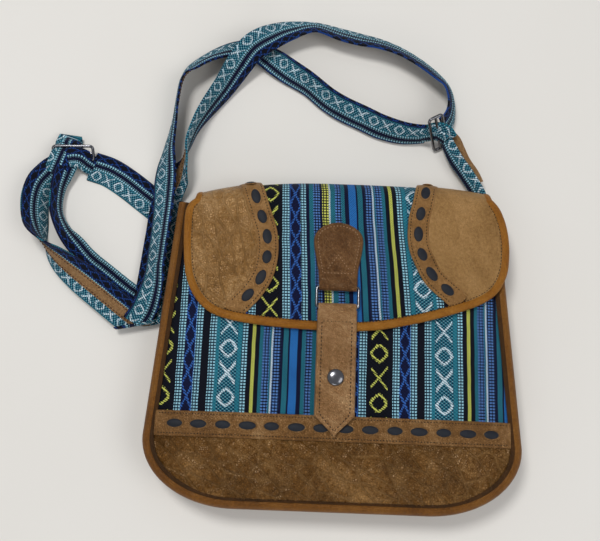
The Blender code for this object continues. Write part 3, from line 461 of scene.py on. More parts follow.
def jacquard(name, stripes, motif_half, motif_pitch, stitch):
    """Striped jacquard: u of the UV map runs across the stripes and v along them, both in metres."""
    g = Graph(name)
    total = sum(width for width, *_ in stripes)
    split = g.node("ShaderNodeSeparateXYZ")
    g.put(split.inputs[0], g.node("ShaderNodeUVMap", uv_map="weave").outputs[0])
    wander = g.noise(g.place(), 60.0, 1.0)
    u = g.math("MULTIPLY_ADD", split.outputs[0], 1000.0, g.math("MULTIPLY_ADD", wander, 0.9, -0.45))
    v = g.math("MULTIPLY", split.outputs[1], 1000.0)
    u = g.math("WRAP", u, total, 0.0)
    share = g.math("DIVIDE", u, total)
    half = len(stripes) // 2
    grounds, figures = [], []
    for start, part in ((0.0, stripes[:half]), (sum(w for w, *_ in stripes[:half]), stripes[half:])):
        stops_a, stops_b = [], []
        for width, kind, ground, figure in part:
            stops_a.append((start / total, (*linear(ground), KINDS[kind])))
            stops_b.append((start / total, (*linear(figure), 1.0)))
            start += width
        grounds.append(g.ramp(share, stops_a, smooth=False))
        figures.append(g.ramp(share, stops_b, smooth=False))
    later = g.math("GREATER_THAN", share, sum(w for w, *_ in stripes[:half]) / total)
    ground = g.mix(later, grounds[0].outputs[0], grounds[1].outputs[0])
    figure = g.mix(later, figures[0].outputs[0], figures[1].outputs[0])
    kinds = g.math("ADD", g.math("MULTIPLY", g.math("SUBTRACT", 1.0, later), grounds[0].outputs[1]),
                   g.math("MULTIPLY", later, grounds[1].outputs[1]))
    centres = {"motif": [], "lattice": []}
    start = 0.0
    for width, kind, *_ in stripes:
        if kind in centres:
            centres[kind].append((start + width / 2, width / 2))
        start += width
    step_u = snapped(g, u, stitch * 0.8)
    step_v = snapped(g, v, stitch)

    def from_centre(kind):
        away = None
        for centre, _ in centres[kind]:
            found = g.math("ABSOLUTE", g.math("SUBTRACT", step_u, centre))
            away = found if away is None else g.math("MINIMUM", away, found)
        return away

    across = g.math("DIVIDE", from_centre("motif"), motif_half)
    along = g.math("FRACT", g.math("DIVIDE", step_v, motif_pitch))
    diamond = g.math("ABSOLUTE", g.math("SUBTRACT", along, 0.5))
    diamond = g.math("DIVIDE", diamond, 0.175)
    rounded = g.math("ADD", g.math("POWER", across, 1.3), g.math("POWER", diamond, 1.3))
    ring = g.math("LESS_THAN", g.math("ABSOLUTE", g.math("SUBTRACT", rounded, 0.98)), 0.21)
    cross_v = g.math("ABSOLUTE", g.math("SUBTRACT", g.math("FRACT", g.math("ADD", along, 0.5)), 0.5))
    cross_v = g.math("DIVIDE", cross_v, 0.205)
    cross = g.math("LESS_THAN", g.math("ABSOLUTE", g.math("SUBTRACT", across, cross_v)), 0.17)
    cross = g.math("MULTIPLY", cross, g.math("LESS_THAN", across, 1.02))
    strokes = cell(g, g.math("ADD", v, g.math("MULTIPLY", u, 0.7)), stitch * 1.9, 0.0, 0.7)
    motif = g.math("MULTIPLY", g.math("MAXIMUM", ring, cross), strokes)
    lattice_half = centres["lattice"][0][1]
    zig = g.math("DIVIDE", from_centre("lattice"), lattice_half)
    zag = g.math("PINGPONG", g.math("DIVIDE", step_v, motif_pitch / 4), 1.0)
    lattice = g.math("LESS_THAN", g.math("ABSOLUTE", g.math("SUBTRACT", zig, zag)), 0.19)
    lattice = g.math("MAXIMUM", g.math("MULTIPLY", lattice, strokes), g.math("GREATER_THAN", zig, 0.9))
    slant = g.math("ADD", v, g.math("MULTIPLY", g.math("PINGPONG", u, stitch), 0.35))
    dash = g.math("MULTIPLY", cell(g, u, stitch * 2.0, 0.16, 0.84), cell(g, slant, stitch * 2.05, 0.2, 0.8))

    def kind_mask(name_of_kind):
        return g.math("LESS_THAN", g.math("ABSOLUTE", g.math("SUBTRACT", kinds, KINDS[name_of_kind])), 0.1)

    rope = cell(g, g.math("ADD", v, g.math("MULTIPLY", u, 1.1)), stitch * 1.6, 0.0, 0.66)
    mask = g.math("MULTIPLY", kind_mask("dash"), dash)
    mask = g.math("MAXIMUM", mask, g.math("MULTIPLY", kind_mask("plain"), rope))
    mask = g.math("MAXIMUM", mask, g.math("MULTIPLY", kind_mask("motif"), motif))
    mask = g.math("MAXIMUM", mask, g.math("MULTIPLY", kind_mask("lattice"), lattice))
    # The ground has a twill of light and dark threads, darkest in the middle of the motif lanes
    rising = g.math("ADD", v, g.math("MULTIPLY", u, 0.8))
    falling = g.math("SUBTRACT", v, g.math("MULTIPLY", u, 0.8))
    twill = g.math("MULTIPLY", cell(g, rising, stitch * 2.3, 0.0, 0.66),
                   cell(g, falling, stitch * 2.3, 0.0, 0.8))
    lane = g.math("MULTIPLY", g.math("LESS_THAN", across, 1.12), kind_mask("motif"))
    depth = g.math("MULTIPLY_ADD", lane, 0.55, 0.45)
    dark = g.mix(1.0, ground, (0.08, 0.13, 0.22), "MULTIPLY")
    ground = g.mix(g.math("MULTIPLY", twill, depth), ground, dark)
    figure = g.mix(g.math("MULTIPLY", twill, 0.25), figure,
                   g.mix(1.0, figure, (0.45, 0.55, 0.65), "MULTIPLY"))
    flecks = g.math("MULTIPLY", cell(g, falling, stitch * 2.3, 0.8, 1.0),
                    cell(g, rising, stitch * 2.3, 0.66, 1.0))
    flecks = g.math("MULTIPLY", g.math("MULTIPLY", flecks, lane),
                    g.math("GREATER_THAN", grounds[0].outputs[0], 0.05))
    ground = g.mix(g.math("MULTIPLY", flecks, 0.5), ground, figure)
    color = g.mix(mask, ground, figure)
    fade = g.noise(g.place(), 35.0, 3.0)
    lint = g.noise(g.place(), 1500.0, 2.0, 0.7)
    tone = g.math("MULTIPLY_ADD", lint, 0.7, g.math("MULTIPLY_ADD", fade, 0.5, 0.3))
    tint = g.node("ShaderNodeCombineXYZ")
    for socket in tint.inputs:
        g.put(socket, tone)
    color = g.mix(1.0, color, tint.outputs[0], "MULTIPLY")
    thread_u = g.math("SINE", g.math("MULTIPLY", u, 2 * math.pi / (stitch * 0.5)))
    thread_v = g.math("SINE", g.math("MULTIPLY", v, 2 * math.pi / (stitch * 0.68)))
    height = g.math("ADD", g.math("MULTIPLY", thread_u, 0.25), g.math("MULTIPLY", thread_v, 0.35))
    height = g.math("ADD", height, g.math("MULTIPLY", mask, 0.6))
    g.bump(height, 0.00028, 0.7)
    return g.finish(color, 0.88, sheen=0.06, specular=0.15)


def leather(name, dark, mid, light, grain=1.0, crease=0.5, turn=0.7, rough=0.5, scratches=0.0, shade=0.35,
            pale=0.0):
    """Vegetable-tanned leather: pebble grain, blotches, a net of creases with painted shade in them and, where pale is
    set, painted highlight lines along them, and pale scratches.
    """
    g = Graph(name)
    place = g.place()
    sway = g.node("ShaderNodeTexNoise")
    sway.inputs["Scale"].default_value = 60.0
    g.put(sway.inputs["Vector"], place)
    warped = g.mix(0.0016, place, sway.outputs["Color"])
    blotch = g.noise(place, 24.0, 4.0, 0.6)
    mottle = g.noise(place, 330.0 * grain, 3.0, 0.7)
    folds, crease_highlights = [], []
    for scale, stretch, angle, line in ((104.0, 2.6, turn, 0.10), (84.0, 3.0, turn - 1.35, 0.08)):
        net = g.node("ShaderNodeTexVoronoi", feature="DISTANCE_TO_EDGE")
        net.inputs["Scale"].default_value = scale
        g.put(net.inputs["Vector"], g.place(stretch, angle, warped))
        folds.append(g.ramp(net.outputs["Distance"], [(0.0, (0, 0, 0)), (line, (1, 1, 1))]).outputs[0])
        crease_highlights.append(g.ramp(net.outputs["Distance"], [(0.0, (1, 1, 1)), (0.8 * line, (0, 0, 0))]).outputs[0])
    fold = g.math("MULTIPLY", folds[0], g.math("MULTIPLY_ADD", folds[1], 0.5, 0.5))
    swell = g.noise(g.place(2.5, turn), 62.0, 2.0, 0.5)
    fine = g.node("ShaderNodeTexVoronoi", feature="DISTANCE_TO_EDGE")
    fine.inputs["Scale"].default_value = 620.0 * grain
    g.put(fine.inputs["Vector"], warped)
    pebble = g.ramp(fine.outputs["Distance"], [(0.0, (0, 0, 0)), (0.16, (1, 1, 1))]).outputs[0]
    mixed = g.math("ADD", g.math("MULTIPLY", blotch, 0.3), g.math("MULTIPLY", mottle, 0.4))
    mixed = g.math("ADD", mixed, g.math("MULTIPLY", swell, 0.3))
    color = g.ramp(mixed, [(0.34, linear(dark)), (0.5, linear(mid)), (0.66, linear(light))]).outputs[0]
    # Painted shade: the colour is pulled towards the dark tone along the crease net, by shade times crease.
    color = g.mix(g.math("MULTIPLY", g.math("SUBTRACT", 1.0, fold), shade * crease, clamp=True), color,
                  tuple(linear(dark)))
    color = g.mix(g.math("MULTIPLY", g.math("SUBTRACT", 1.0, pebble), 0.22), color, tuple(linear(dark)))
    # Painted highlight: pale lines of the light tone along the crease net, fainter in the low blotches, by pale.
    if pale:
        crease_highlight = g.math("MAXIMUM", crease_highlights[0], g.math("MULTIPLY", crease_highlights[1], 0.6))
        crease_highlight = g.math("MULTIPLY", crease_highlight,
                       g.ramp(blotch, [(0.35, (0.15, 0.15, 0.15)), (0.6, (1, 1, 1))]).outputs[0])
        color = g.mix(g.math("MULTIPLY", crease_highlight, pale), color, tuple(linear(light)))
    if scratches:
        lines = g.noise(g.place(14.0, turn), 210.0, 1.0)
        marks = g.ramp(g.math("ABSOLUTE", g.math("SUBTRACT", lines, 0.5)),
                       [(0.0, (1, 1, 1)), (0.05, (0, 0, 0))]).outputs[0]
        marks = g.math("MULTIPLY", marks, g.ramp(swell, [(0.42, (0, 0, 0)), (0.56, (1, 1, 1))]).outputs[0])
        color = g.mix(g.math("MULTIPLY", marks, scratches), color, tuple(linear(light)))
    height = g.math("MULTIPLY", fold, 0.6 * crease)
    height = g.math("ADD", height, g.math("MULTIPLY", swell, 2.0 * crease))
    height = g.math("ADD", height, g.math("MULTIPLY", pebble, 0.28))
    height = g.math("ADD", height, g.math("MULTIPLY", mottle, 0.25))
    g.bump(height, 0.0018, 1.0)
    g.shader.inputs["Specular Tint"].default_value = (1.0, 0.74, 0.48, 1.0)
    return g.finish(color, g.math("MULTIPLY_ADD", mottle, 0.3, rough - 0.15), specular=0.45)


def suede(name, dark, light):
    g = Graph(name)
    fuzz = g.noise(g.place(), 1400.0, 3.0, 0.7)
    wide = g.noise(g.place(), 240.0, 2.0)
    color = g.mix(g.math("MULTIPLY", wide, 0.9), tuple(linear(dark)), tuple(linear(light)))
    g.bump(fuzz, 0.0004, 0.5)
    return g.finish(color, 0.6, sheen=0.08, specular=0.3)


def plain_cotton(name, dark, light):
    g = Graph(name)
    place = g.node("ShaderNodeTexCoord").outputs["Object"]
    split = g.node("ShaderNodeSeparateXYZ")
    g.put(split.inputs[0], place)
    warp = g.math("SINE", g.math("MULTIPLY", split.outputs[0], 5200.0))
    weft = g.math("SINE", g.math("MULTIPLY", g.math("ADD", split.outputs[1], split.outputs[2]), 5200.0))
    height = g.math("MULTIPLY", warp, weft)
    tone = g.noise(place, 50.0, 3.0)
    color = g.mix(tone, tuple(linear(dark)), tuple(linear(light)))
    g.bump(height, 0.0002, 0.5)
    return g.finish(color, 0.92, sheen=0.05, specular=0.15)


def thread(name, color):
    g = Graph(name)
    tone = g.noise(g.place(), 900.0, 2.0)
    shade = g.mix(g.math("MULTIPLY", tone, 0.5), tuple(linear(color)), tuple(0.5 * c for c in linear(color)))
    return g.finish(shade, 0.7, specular=0.3)


def metal(name, color, rough):
    g = Graph(name)
    wear = g.noise(g.place(), 420.0, 3.0)
    tint = g.mix(g.math("MULTIPLY", wear, 0.35), tuple(linear(color)), tuple(0.55 * c for c in linear(color)))
    g.bump(wear, 0.00012, 0.25)
    return g.finish(tint, g.math("MULTIPLY_ADD", wear, 0.2, rough), metallic=1.0)


def floor_cloth(name):
    """Pale backdrop with a faint woven tooth and soft creases."""
    g = Graph(name)
    place = g.node("ShaderNodeTexCoord").outputs["Object"]
    tone = g.noise(place, 3.0, 4.0)
    fine = g.noise(place, 900.0, 2.0)
    color = g.mix(tone, tuple(linear("#dfdbd3")), tuple(linear("#e7e4de")))
    g.bump(g.math("ADD", g.math("MULTIPLY", tone, 2.0), g.math("MULTIPLY", fine, 0.15)), 0.0006, 0.4)
    return g.finish(color, 0.95, specular=0.1)


# Surfaces

def smooth_step(low, high, value):
    t = min(1.0, max(0.0, (value - low) / (high - low)))
    return t * t * (3 - 2 * t)


def half_width(y):
    if y >= CORNER_Y:
        return HALF_WIDTH - SIDE_SLOPE * (y - CORNER_Y)
    drop = min(1.0, (CORNER_Y - y) / (CORNER_Y - BOTTOM_Y))
    return HALF_WIDTH - CORNER_RX + CORNER_RX * math.sqrt(1 - drop * drop)


def inset_half_width(y, inset):
    if y >= CORNER_Y:
        return half_width(y) - inset
    drop = min(1.0, (CORNER_Y - y) / (CORNER_Y - BOTTOM_Y - inset))
    return HALF_WIDTH - CORNER_RX + (CORNER_RX - inset) * math.sqrt(1 - drop * drop)


def body_outline(inset, straight=40, curved=26, bottom=40):
    left = []
    for i in range(straight):
        y = SEAM_TOP_Y + (CORNER_Y - SEAM_TOP_Y) * i / straight
        left.append((inset - half_width(y), y))
    rx = CORNER_RX - inset
    ry = CORNER_Y - BOTTOM_Y - inset
    for i in range(curved + 1):
        turn = math.pi + math.pi / 2 * i / curved
        left.append((CORNER_RX - HALF_WIDTH + rx * math.cos(turn), CORNER_Y + ry * math.sin(turn)))
    end = left[-1]
    left += [(end[0] * (1 - i / bottom), end[1]) for i in range(1, bottom + 1)]
    return left + [(-x, y) for x, y in reversed(left[:-1])]


def panel_levels(low, curved, top, straight):
    """Heights of a panel's rows, close together round the bottom corners."""
    turns = np.linspace(math.pi / 2, 0, curved)
    around = [CORNER_Y - (CORNER_Y - low) * math.sin(t) for t in turns]
    return around + list(np.linspace(CORNER_Y, top, straight))[1:]


def piping_z(y):
    share = (y - BOTTOM_Y) / (SEAM_TOP_Y - BOTTOM_Y)
    return PIPING_Z_BOTTOM + (PIPING_Z_TOP - PIPING_Z_BOTTOM) * share


def puff(x, y):
    side = min(1.0, abs(x) / (half_width(y) - 2 * PIPING_R))
    rise = 1 - (1 - min(1.0, (y - BOTTOM_Y) / (60 * MM))) ** 3
    top = smooth_step(MOUTH_Y, 45 * MM, y)
    return (MOUTH_PUFF + (FRONT_PUFF - MOUTH_PUFF) * top) * (1 - side ** 4) * rise


def front_z(x, y):
    return piping_z(y) + PANEL_RISE + puff(x, y)


def fold_centre_y(x):
    return FOLD_Y - FOLD_BOW * abs((x - FOLD_MID_X) / FOLD_HALF) ** 3 - FOLD_R


def flap_under(x, y):
    lift = math.hypot(puff(x, y), PIPING_R + 0.6 * MM - 2.0 * MM)
    low = piping_z(y) + 2.0 * MM + lift
    near_fold = smooth_step(fold_centre_y(x) - 34 * MM, fold_centre_y(x), y)
    return low + (2 * FOLD_R - FOLD_T - low) * near_fold


def flap_point(x, s, h):
    """As in the bag's source, and on round the fold to the back for s below 0."""
    if s < HINGE_ARC:
        turn = HINGE + s / FOLD_R
        reach = FOLD_R - FOLD_T + h
        if turn < -math.pi / 2:
            back = (-math.pi / 2 - turn) * FOLD_R
            return Vector((x, fold_centre_y(x) - back, FOLD_R - reach))
        return Vector((x, fold_centre_y(x) + reach * math.cos(turn), FOLD_R + reach * math.sin(turn)))
    y = fold_centre_y(x) - (s - HINGE_ARC)
    return Vector((x, y, flap_under(x, y) + h))


def flap_s(x, y):
    return fold_centre_y(x) - y + HINGE_ARC


def on_front(x, y, h):
    return Vector((x, y, front_z(x, y) + h))


def on_flap(x, y, h):
    return flap_point(x, flap_s(x, y), h)


def tucked(x, y, h):
    """As on_flap, but dipping where the piece runs in under the binding."""
    s = flap_s(x, y)
    away = min(math.hypot(x - p.x, s - p.y) for p in TUCK_LINE)
    return flap_point(x, s, h - 2.2 * MM * smooth_step(BINDING_W + 2 * MM, BINDING_W - 2.5 * MM, away))


def spline(points, per_span):
    ends = [2 * Vector(points[0]) - Vector(points[1])]
    ends += [Vector(p) for p in points]
    ends += [2 * Vector(points[-1]) - Vector(points[-2])]
    made = []
    for i in range(1, len(ends) - 2):
        a, b, c, d = ends[i - 1:i + 3]
        for step in range(per_span):
            t = step / per_span
            made.append(0.5 * ((2 * b) + (c - a) * t + (2 * a - 5 * b + 4 * c - d) * t ** 2
                               + (3 * b - a - 3 * c + d) * t ** 3))
    made.append(ends[-2])
    return made


def offset(points, distance):
    moved = []
    for i, point in enumerate(points):
        before = points[max(0, i - 1)]
        after = points[min(len(points) - 1, i + 1)]
        along = (Vector(after[:2]) - Vector(before[:2])).normalized()
        moved.append(Vector((point[0] - along.y * distance, point[1] + along.x * distance)))
    return moved


def even(points, count):
    flat = np.array([tuple(p) for p in points])
    run = np.concatenate([[0.0], np.cumsum(np.linalg.norm(np.diff(flat, axis=0), axis=1))])
    where = np.linspace(0, run[-1], count)
    return [Vector(c) for c in zip(*[np.interp(where, run, flat[:, k]) for k in range(flat.shape[1])])]


def line_length(points):
    return sum((Vector(b) - Vector(a)).length for a, b in zip(points, points[1:]))


# Mesh builders

def add_mesh(name, verts, faces, materials, uvs=None, marks=None, sharp=50):
    """A smooth-shaded object, with a weave UV map if uvs holds one pair for each vertex."""
    mesh = bpy.data.meshes.new(name)
    mesh.from_pydata([tuple(v) for v in verts], [], faces)
    for item in materials:
        mesh.materials.append(item)
    if marks is not None:
        mesh.polygons.foreach_set("material_index", marks)
    if uvs is not None:
        layer = mesh.uv_layers.new(name="weave")
        index = np.empty(len(mesh.loops), np.int32)
        mesh.loops.foreach_get("vertex_index", index)
        layer.data.foreach_set("uv", np.array(uvs, np.float32)[index].ravel())
    mesh.shade_smooth()
    mesh.set_sharp_from_angle(angle=math.radians(sharp))
    obj = bpy.data.objects.new(name, mesh)
    bpy.context.scene.collection.objects.link(obj)
    return obj


def shell(name, grid, thickness, materials, uvs=None, round_edge=0.4, marks=None):
    """A sheet with thickness from rows of points on its outer face, with a rounded rim."""
    top = np.array([[tuple(p) for p in row] for row in grid], float)
    rows, cols = top.shape[:2]
    du = np.gradient(top, axis=1)
    dv = np.gradient(top, axis=0)
    normal = np.cross(du, dv)
    normal /= np.maximum(np.linalg.norm(normal, axis=2, keepdims=True), 1e-12)
    low = top - normal * thickness
    verts = list(top.reshape(-1, 3)) + list(low.reshape(-1, 3))
    count = rows * cols
    faces, mark = [], []
    for j in range(rows - 1):
        for i in range(cols - 1):
            a = j * cols + i
            faces.append((a, a + 1, a + cols + 1, a + cols))
            faces.append((count + a, count + a + cols, count + a + cols + 1, count + a + 1))
            mark += [0, min(1, len(materials) - 1)]
    rim = [(0, i) for i in range(cols)] + [(j, cols - 1) for j in range(1, rows)]
    rim += [(rows - 1, i) for i in range(cols - 2, -1, -1)] + [(j, 0) for j in range(rows - 2, 0, -1)]
    base = len(verts)
    for k, (j, i) in enumerate(rim):
        before = rim[k - 1]
        after = rim[(k + 1) % len(rim)]
        along = top[after] - top[before]
        out = np.cross(along, normal[j, i])
        out /= max(np.linalg.norm(out), 1e-12)
        verts.append((top[j, i] + low[j, i]) / 2 + out * thickness * round_edge)
    for k in range(len(rim)):
        a = rim[k][0] * cols + rim[k][1]
        b = rim[(k + 1) % len(rim)][0] * cols + rim[(k + 1) % len(rim)][1]
        m = base + k
        n = base + (k + 1) % len(rim)
        faces.append((b, a, m, n))
        faces.append((n, m, count + a, count + b))
        mark += [0, 0]
    if uvs is not None:
        flat = [tuple(p) for row in uvs for p in row]
        uvs = flat + flat + [flat[j * cols + i] for j, i in rim]
    return add_mesh(name, verts, faces, materials, uvs, marks if marks is not None else mark)


def tube_mesh(name, points, normals, sides, materials, closed=False, caps=True):
    """A tube along points; sides gives (offset along the side vector, offset along the normal) pairs."""
    count = len(points)
    verts = []
    for i, (point, up) in enumerate(zip(points, normals)):
        before = Vector(points[(i - 1) % count] if closed else points[max(0, i - 1)])
        after = Vector(points[(i + 1) % count] if closed else points[min(count - 1, i + 1)])
        along = (after - before).normalized()
        side = along.cross(Vector(up)).normalized()
        lift = side.cross(along)
        verts += [Vector(point) + side * a + lift * b for a, b in sides]
    ring = len(sides)
    faces = []
    for i in range(count if closed else count - 1):
        for k in range(ring):
            a = i * ring + k
            b = i * ring + (k + 1) % ring
            c = ((i + 1) % count) * ring + (k + 1) % ring
            d = ((i + 1) % count) * ring + k
            faces.append((a, b, c, d))
    if caps and not closed:
        faces.append(tuple(range(ring - 1, -1, -1)))
        faces.append(tuple((count - 1) * ring + k for k in range(ring)))
    return add_mesh(name, verts, faces, materials, sharp=70)


def round_sides(radius, count=12, flat=1.0):
    return [(radius * math.cos(-2 * math.pi * i / count), radius * flat * math.sin(-2 * math.pi * i / count))
            for i in range(count)]


def oval(verts, faces, centre, along, up, length, width, height, ring=10, levels=3):
    """Adds a low dome, oval in plan, to lists of vertices and faces."""
    along = Vector(along).normalized()
    side = Vector(up).cross(along).normalized()
    up = along.cross(side)
    base = len(verts)
    for level in range(levels):
        lift = math.sin(math.pi / 2 * level / levels)
        reach = math.cos(math.pi / 2 * level / levels)
        for k in range(ring):
            turn = 2 * math.pi * k / ring
            verts.append(Vector(centre) + along * (length / 2 * reach * math.cos(turn))
                         + side * (width / 2 * reach * math.sin(turn)) + up * (height * lift))
    verts.append(Vector(centre) + up * height)
    verts.append(Vector(centre) - up * height * 0.3)
    for level in range(levels - 1):
        for k in range(ring):
            a = base + level * ring + k
            b = base + level * ring + (k + 1) % ring
            faces.append((a, b, b + ring, a + ring))
    last = base + (levels - 1) * ring
    for k in range(ring):
        faces.append((last + k, last + (k + 1) % ring, base + levels * ring))
        faces.append((base + (k + 1) % ring, base + k, base + levels * ring + 1))


def stitches(name, rows, pitch, length, width, height, material):
    """Rows of thread stitches; each row is a list of (point, up) along a seam."""
    verts, faces = [], []
    for row in rows:
        points = [Vector(p) for p, _ in row]
        run = [0.0]
        for a, b in zip(points, points[1:]):
            run.append(run[-1] + (b - a).length)
        count = max(2, int(run[-1] / pitch))
        flat = np.array([tuple(p) for p in points])
        ups = np.array([tuple(u) for _, u in row])
        for i in range(count):
            at = (i + 0.5) * run[-1] / count
            here = Vector([np.interp(at, run, flat[:, k]) for k in range(3)])
            ahead = Vector([np.interp(at + 0.0004, run, flat[:, k]) for k in range(3)])
            behind = Vector([np.interp(at - 0.0004, run, flat[:, k]) for k in range(3)])
            up = Vector([np.interp(at, run, ups[:, k]) for k in range(3)])
            oval(verts, faces, here, ahead - behind, up, length, width, height, ring=6, levels=2)
    return add_mesh(name, verts, faces, [material], sharp=180)


def settle(piece, body, slot, *nodes):
    """Rides on a body, takes a slot's finish, and stands for any nodes named."""
    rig.ride(piece, body)
    if nodes:
        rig.replaces(piece, *nodes)
    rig.slot(piece, slot)


def flap_piece(obj):
    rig.blend(obj, "bag", "flap", start=BLEND_START, end=BLEND_END)


def surface_row(points, lay, height):
    """(point, normal) pairs on a surface under a 2D line."""
    row = []
    for p in points:
        here = lay(p[0], p[1], height)
        row.append((here, surface_up(p[0], p[1], lay)))
    return row


def surface_up(x, y, lay):
    step = 0.4 * MM
    dx = lay(x + step, y, 0) - lay(x - step, y, 0)
    dy = lay(x, y + step, 0) - lay(x, y - step, 0)
    return dx.cross(dy).normalized()


# Body

def ripple(x, y, scale, seed):
    return noise.noise(Vector((x * scale, y * scale, seed)))


def make_front_cloth(looks):
    xs = np.linspace(-1, 1, 121)
    ys = np.linspace(BAND_Y, MOUTH_Y, 84)
    grid, uvs = [], []
    for y in ys:
        reach = inset_half_width(y, SEAM_INSET)
        row, uv = [], []
        for u in xs:
            x = reach * u
            wave = 0.35 * MM * ripple(x, y, 28, 1.3) * (1 - abs(u) ** 6)
            row.append(on_front(x, y, wave))
            uv.append(((x / MM + FRONT_SHIFT) * MM, (y / MM + 7.6 + 18) * MM))
        grid.append(row)
        uvs.append(uv)
    piece = shell("front_weave", grid, 1.5 * MM, [looks["cloth"]], uvs)
    settle(piece, "bag", "woven_cotton", "front_cloth")
    hem = [on_front(inset_half_width(MOUTH_Y, SEAM_INSET) * u, MOUTH_Y - 1.0 * MM, -0.7 * MM) for u in xs]
    rim = tube_mesh("mouth_binding", hem, [(0, 0, 1)] * len(hem), round_sides(1.9 * MM, 10, 0.75),
                    [looks["tan"]])
    settle(rim, "bag", "tan_leather")


def make_bottom_leather(looks):
    xs = np.linspace(-1, 1, 171)
    low = BOTTOM_Y + SEAM_INSET
    ys = panel_levels(low, 30, BAND_Y, 7)
    grid = []
    for y in ys:
        reach = inset_half_width(y, SEAM_INSET)
        row = []
        for u in xs:
            x = reach * u
            edge = min(1.0, (1 - abs(u)) * reach / (9 * MM), (y - low + 1 * MM) / (10 * MM))
            along = x * 0.75 + y * 0.66
            crease = 1 - abs(noise.noise(Vector((along * 55 + 2.2 * ripple(x, y, 30, 4.0), (x - y) * 14,
                                                 0.7))))
            cross = 1 - abs(noise.noise(Vector(((x - y) * 46, along * 16, 3.1))))
            soft = 1.0 * MM * ripple(x, y, 32, 7.7)
            soft += 0.75 * MM * (crease ** 6 - 0.4)
            soft += 0.4 * MM * (cross ** 7 - 0.3)
            row.append(on_front(x, y, 0.2 * MM + soft * edge))
        grid.append(row)
    piece = shell("bottom_leather", grid, 1.6 * MM, [looks["bottom"]])
    settle(piece, "bag", "panel_leather", "front_bottom_leather")


def strip(name, line, width, low, thickness, lay, material, across=10, crown=0.25):
    """A leather strip along a 2D line, a little higher along its middle."""
    left = offset(line, width / 2)
    right = offset(line, -width / 2)
    grid = []
    for a, b in zip(left, right):
        row = []
        for k in range(across + 1):
            u = k / across
            edge = 1 - abs(2 * u - 1) ** 6
            x = a.x + (b.x - a.x) * u
            y = a.y + (b.y - a.y) * u
            lift = thickness * (0.72 + 0.28 * edge) + crown * MM * (1 - (2 * u - 1) ** 2)
            row.append(lay(x, y, low + lift + 0.25 * MM * ripple(x, y, 70, 12.0)))
        grid.append(row)
    return shell(name, grid, thickness, [material])


def lacing(name, line, centres, length, width, height, lay, lace, rim_look):
    """The lace's stitches over a band, and the raised leather rims that they pull up round them."""
    dense = even(line, 700)
    step = line_length(line) / 699
    verts, faces, rim_verts, rim_faces = [], [], [], []
    for number, at in enumerate(centres):
        i = min(697, max(1, round(at / step)))
        here = lay(dense[i].x, dense[i].y, height)
        up = surface_up(dense[i].x, dense[i].y, lay)
        way = (lay(dense[i + 1].x, dense[i + 1].y, height) - lay(dense[i - 1].x, dense[i - 1].y,
                                                                 height)).normalized()
        long = length * (1 + 0.07 * math.sin(number * 2.7))
        oval(verts, faces, here - up * 0.1 * MM, way, up, long, width, 1.25 * MM, ring=24, levels=6)
        side = up.cross(way)
        base = len(rim_verts)
        ring, tube = 32, 8
        for k in range(ring):
            turn = 2 * math.pi * k / ring
            out = way * (math.cos(turn) * width) + side * (math.sin(turn) * long)
            out.normalize()
            middle = here + way * ((long / 2 + 0.1 * MM) * math.cos(turn))
            middle += side * ((width / 2 + 0.1 * MM) * math.sin(turn))
            for m in range(tube):
                roll = 2 * math.pi * m / tube
                lift = (0.42 * math.sin(roll) - 0.1) * MM
                rim_verts.append(middle + out * (0.7 * MM * math.cos(roll)) + up * lift)
        for k in range(ring):
            for m in range(tube):
                rim_faces.append((base + k * tube + m, base + ((k + 1) % ring) * tube + m,
                                  base + ((k + 1) % ring) * tube + (m + 1) % tube,
                                  base + k * tube + (m + 1) % tube))
    return (add_mesh(name, verts, faces, [lace], sharp=180),
            add_mesh(name + "_rims", rim_verts, rim_faces, [rim_look], sharp=180))


def make_front_band(looks):
    reach = inset_half_width(BAND_Y, SEAM_INSET)
    line = [Vector((x, BAND_Y)) for x in np.linspace(-reach, reach, 133)]
    piece = strip("front_band", line, BAND_H, BAND_LOW, BAND_T, on_front, looks["bottom_smooth"])
    settle(piece, "bag", "panel_leather", "front_lace_band")
    first = reach - 18 * MM * 13 / 2
    centres = [first + 18 * MM * i for i in range(14)]
    lace, rims = lacing("front_lacing", line, centres, 12.4 * MM, 6.4 * MM, BAND_LOW + BAND_T + 0.2 * MM,
                        on_front,
                        looks["suede"], looks["rim"])
    settle(lace, "bag", "navy_suede", "front_lace")
    settle(rims, "bag", "panel_leather")
    rows = []
    for y in (BAND_Y + BAND_H / 2 - 1.8 * MM, BAND_Y - BAND_H / 2 + 1.8 * MM):
        rows.append(surface_row([(x, y) for x in np.linspace(-reach + 2 * MM, reach - 2 * MM, 60)], on_front,
                                BAND_LOW + BAND_T + 0.1 * MM))
    seam = stitches("front_band_stitches", rows, 2.3 * MM, 1.35 * MM, 0.7 * MM, 0.25 * MM,
                    looks["dark_thread"])
    settle(seam, "bag", "panel_leather")


def make_pipings(looks):
    for name, height, node in (("front_piping_leather", piping_z, "front_piping"),
                               ("back_piping_leather", lambda y: PIPING_R, "back_piping")):
        path = body_outline(PIPING_R)
        points = [Vector((x, y, height(y))) for x, y in path]
        # The pipings take a darker copy of the tan leather: painted shade of the piping curving under.
        piece = tube_mesh(name, points, [(0, 0, 1)] * len(points), round_sides(PIPING_R, 16),
                          [looks["piping"]])
        settle(piece, "bag", "tan_leather", node)
    # Painted shade: a thin near-black tan strip along the seam just inside the front piping stands for the shade in
    # the groove between panel and piping.
    path = body_outline(PIPING_R + 2.6 * MM)
    seam_line = [(Vector((x, y, piping_z(y) + 2.7 * MM)), Vector((0, 0, 1))) for x, y in path]
    shade_strip = tube_mesh("front_seam_welt", [p for p, _ in seam_line], [u for _, u in seam_line],
                     [(2.4 * MM * a, b * MM) for a,
                      b in ((1, -0.6), (-1, -0.6), (-1, 0.5), (0, 0.9), (1, 0.5))],
                     [looks["tan_dark"]])
    settle(shade_strip, "bag", "tan_leather")


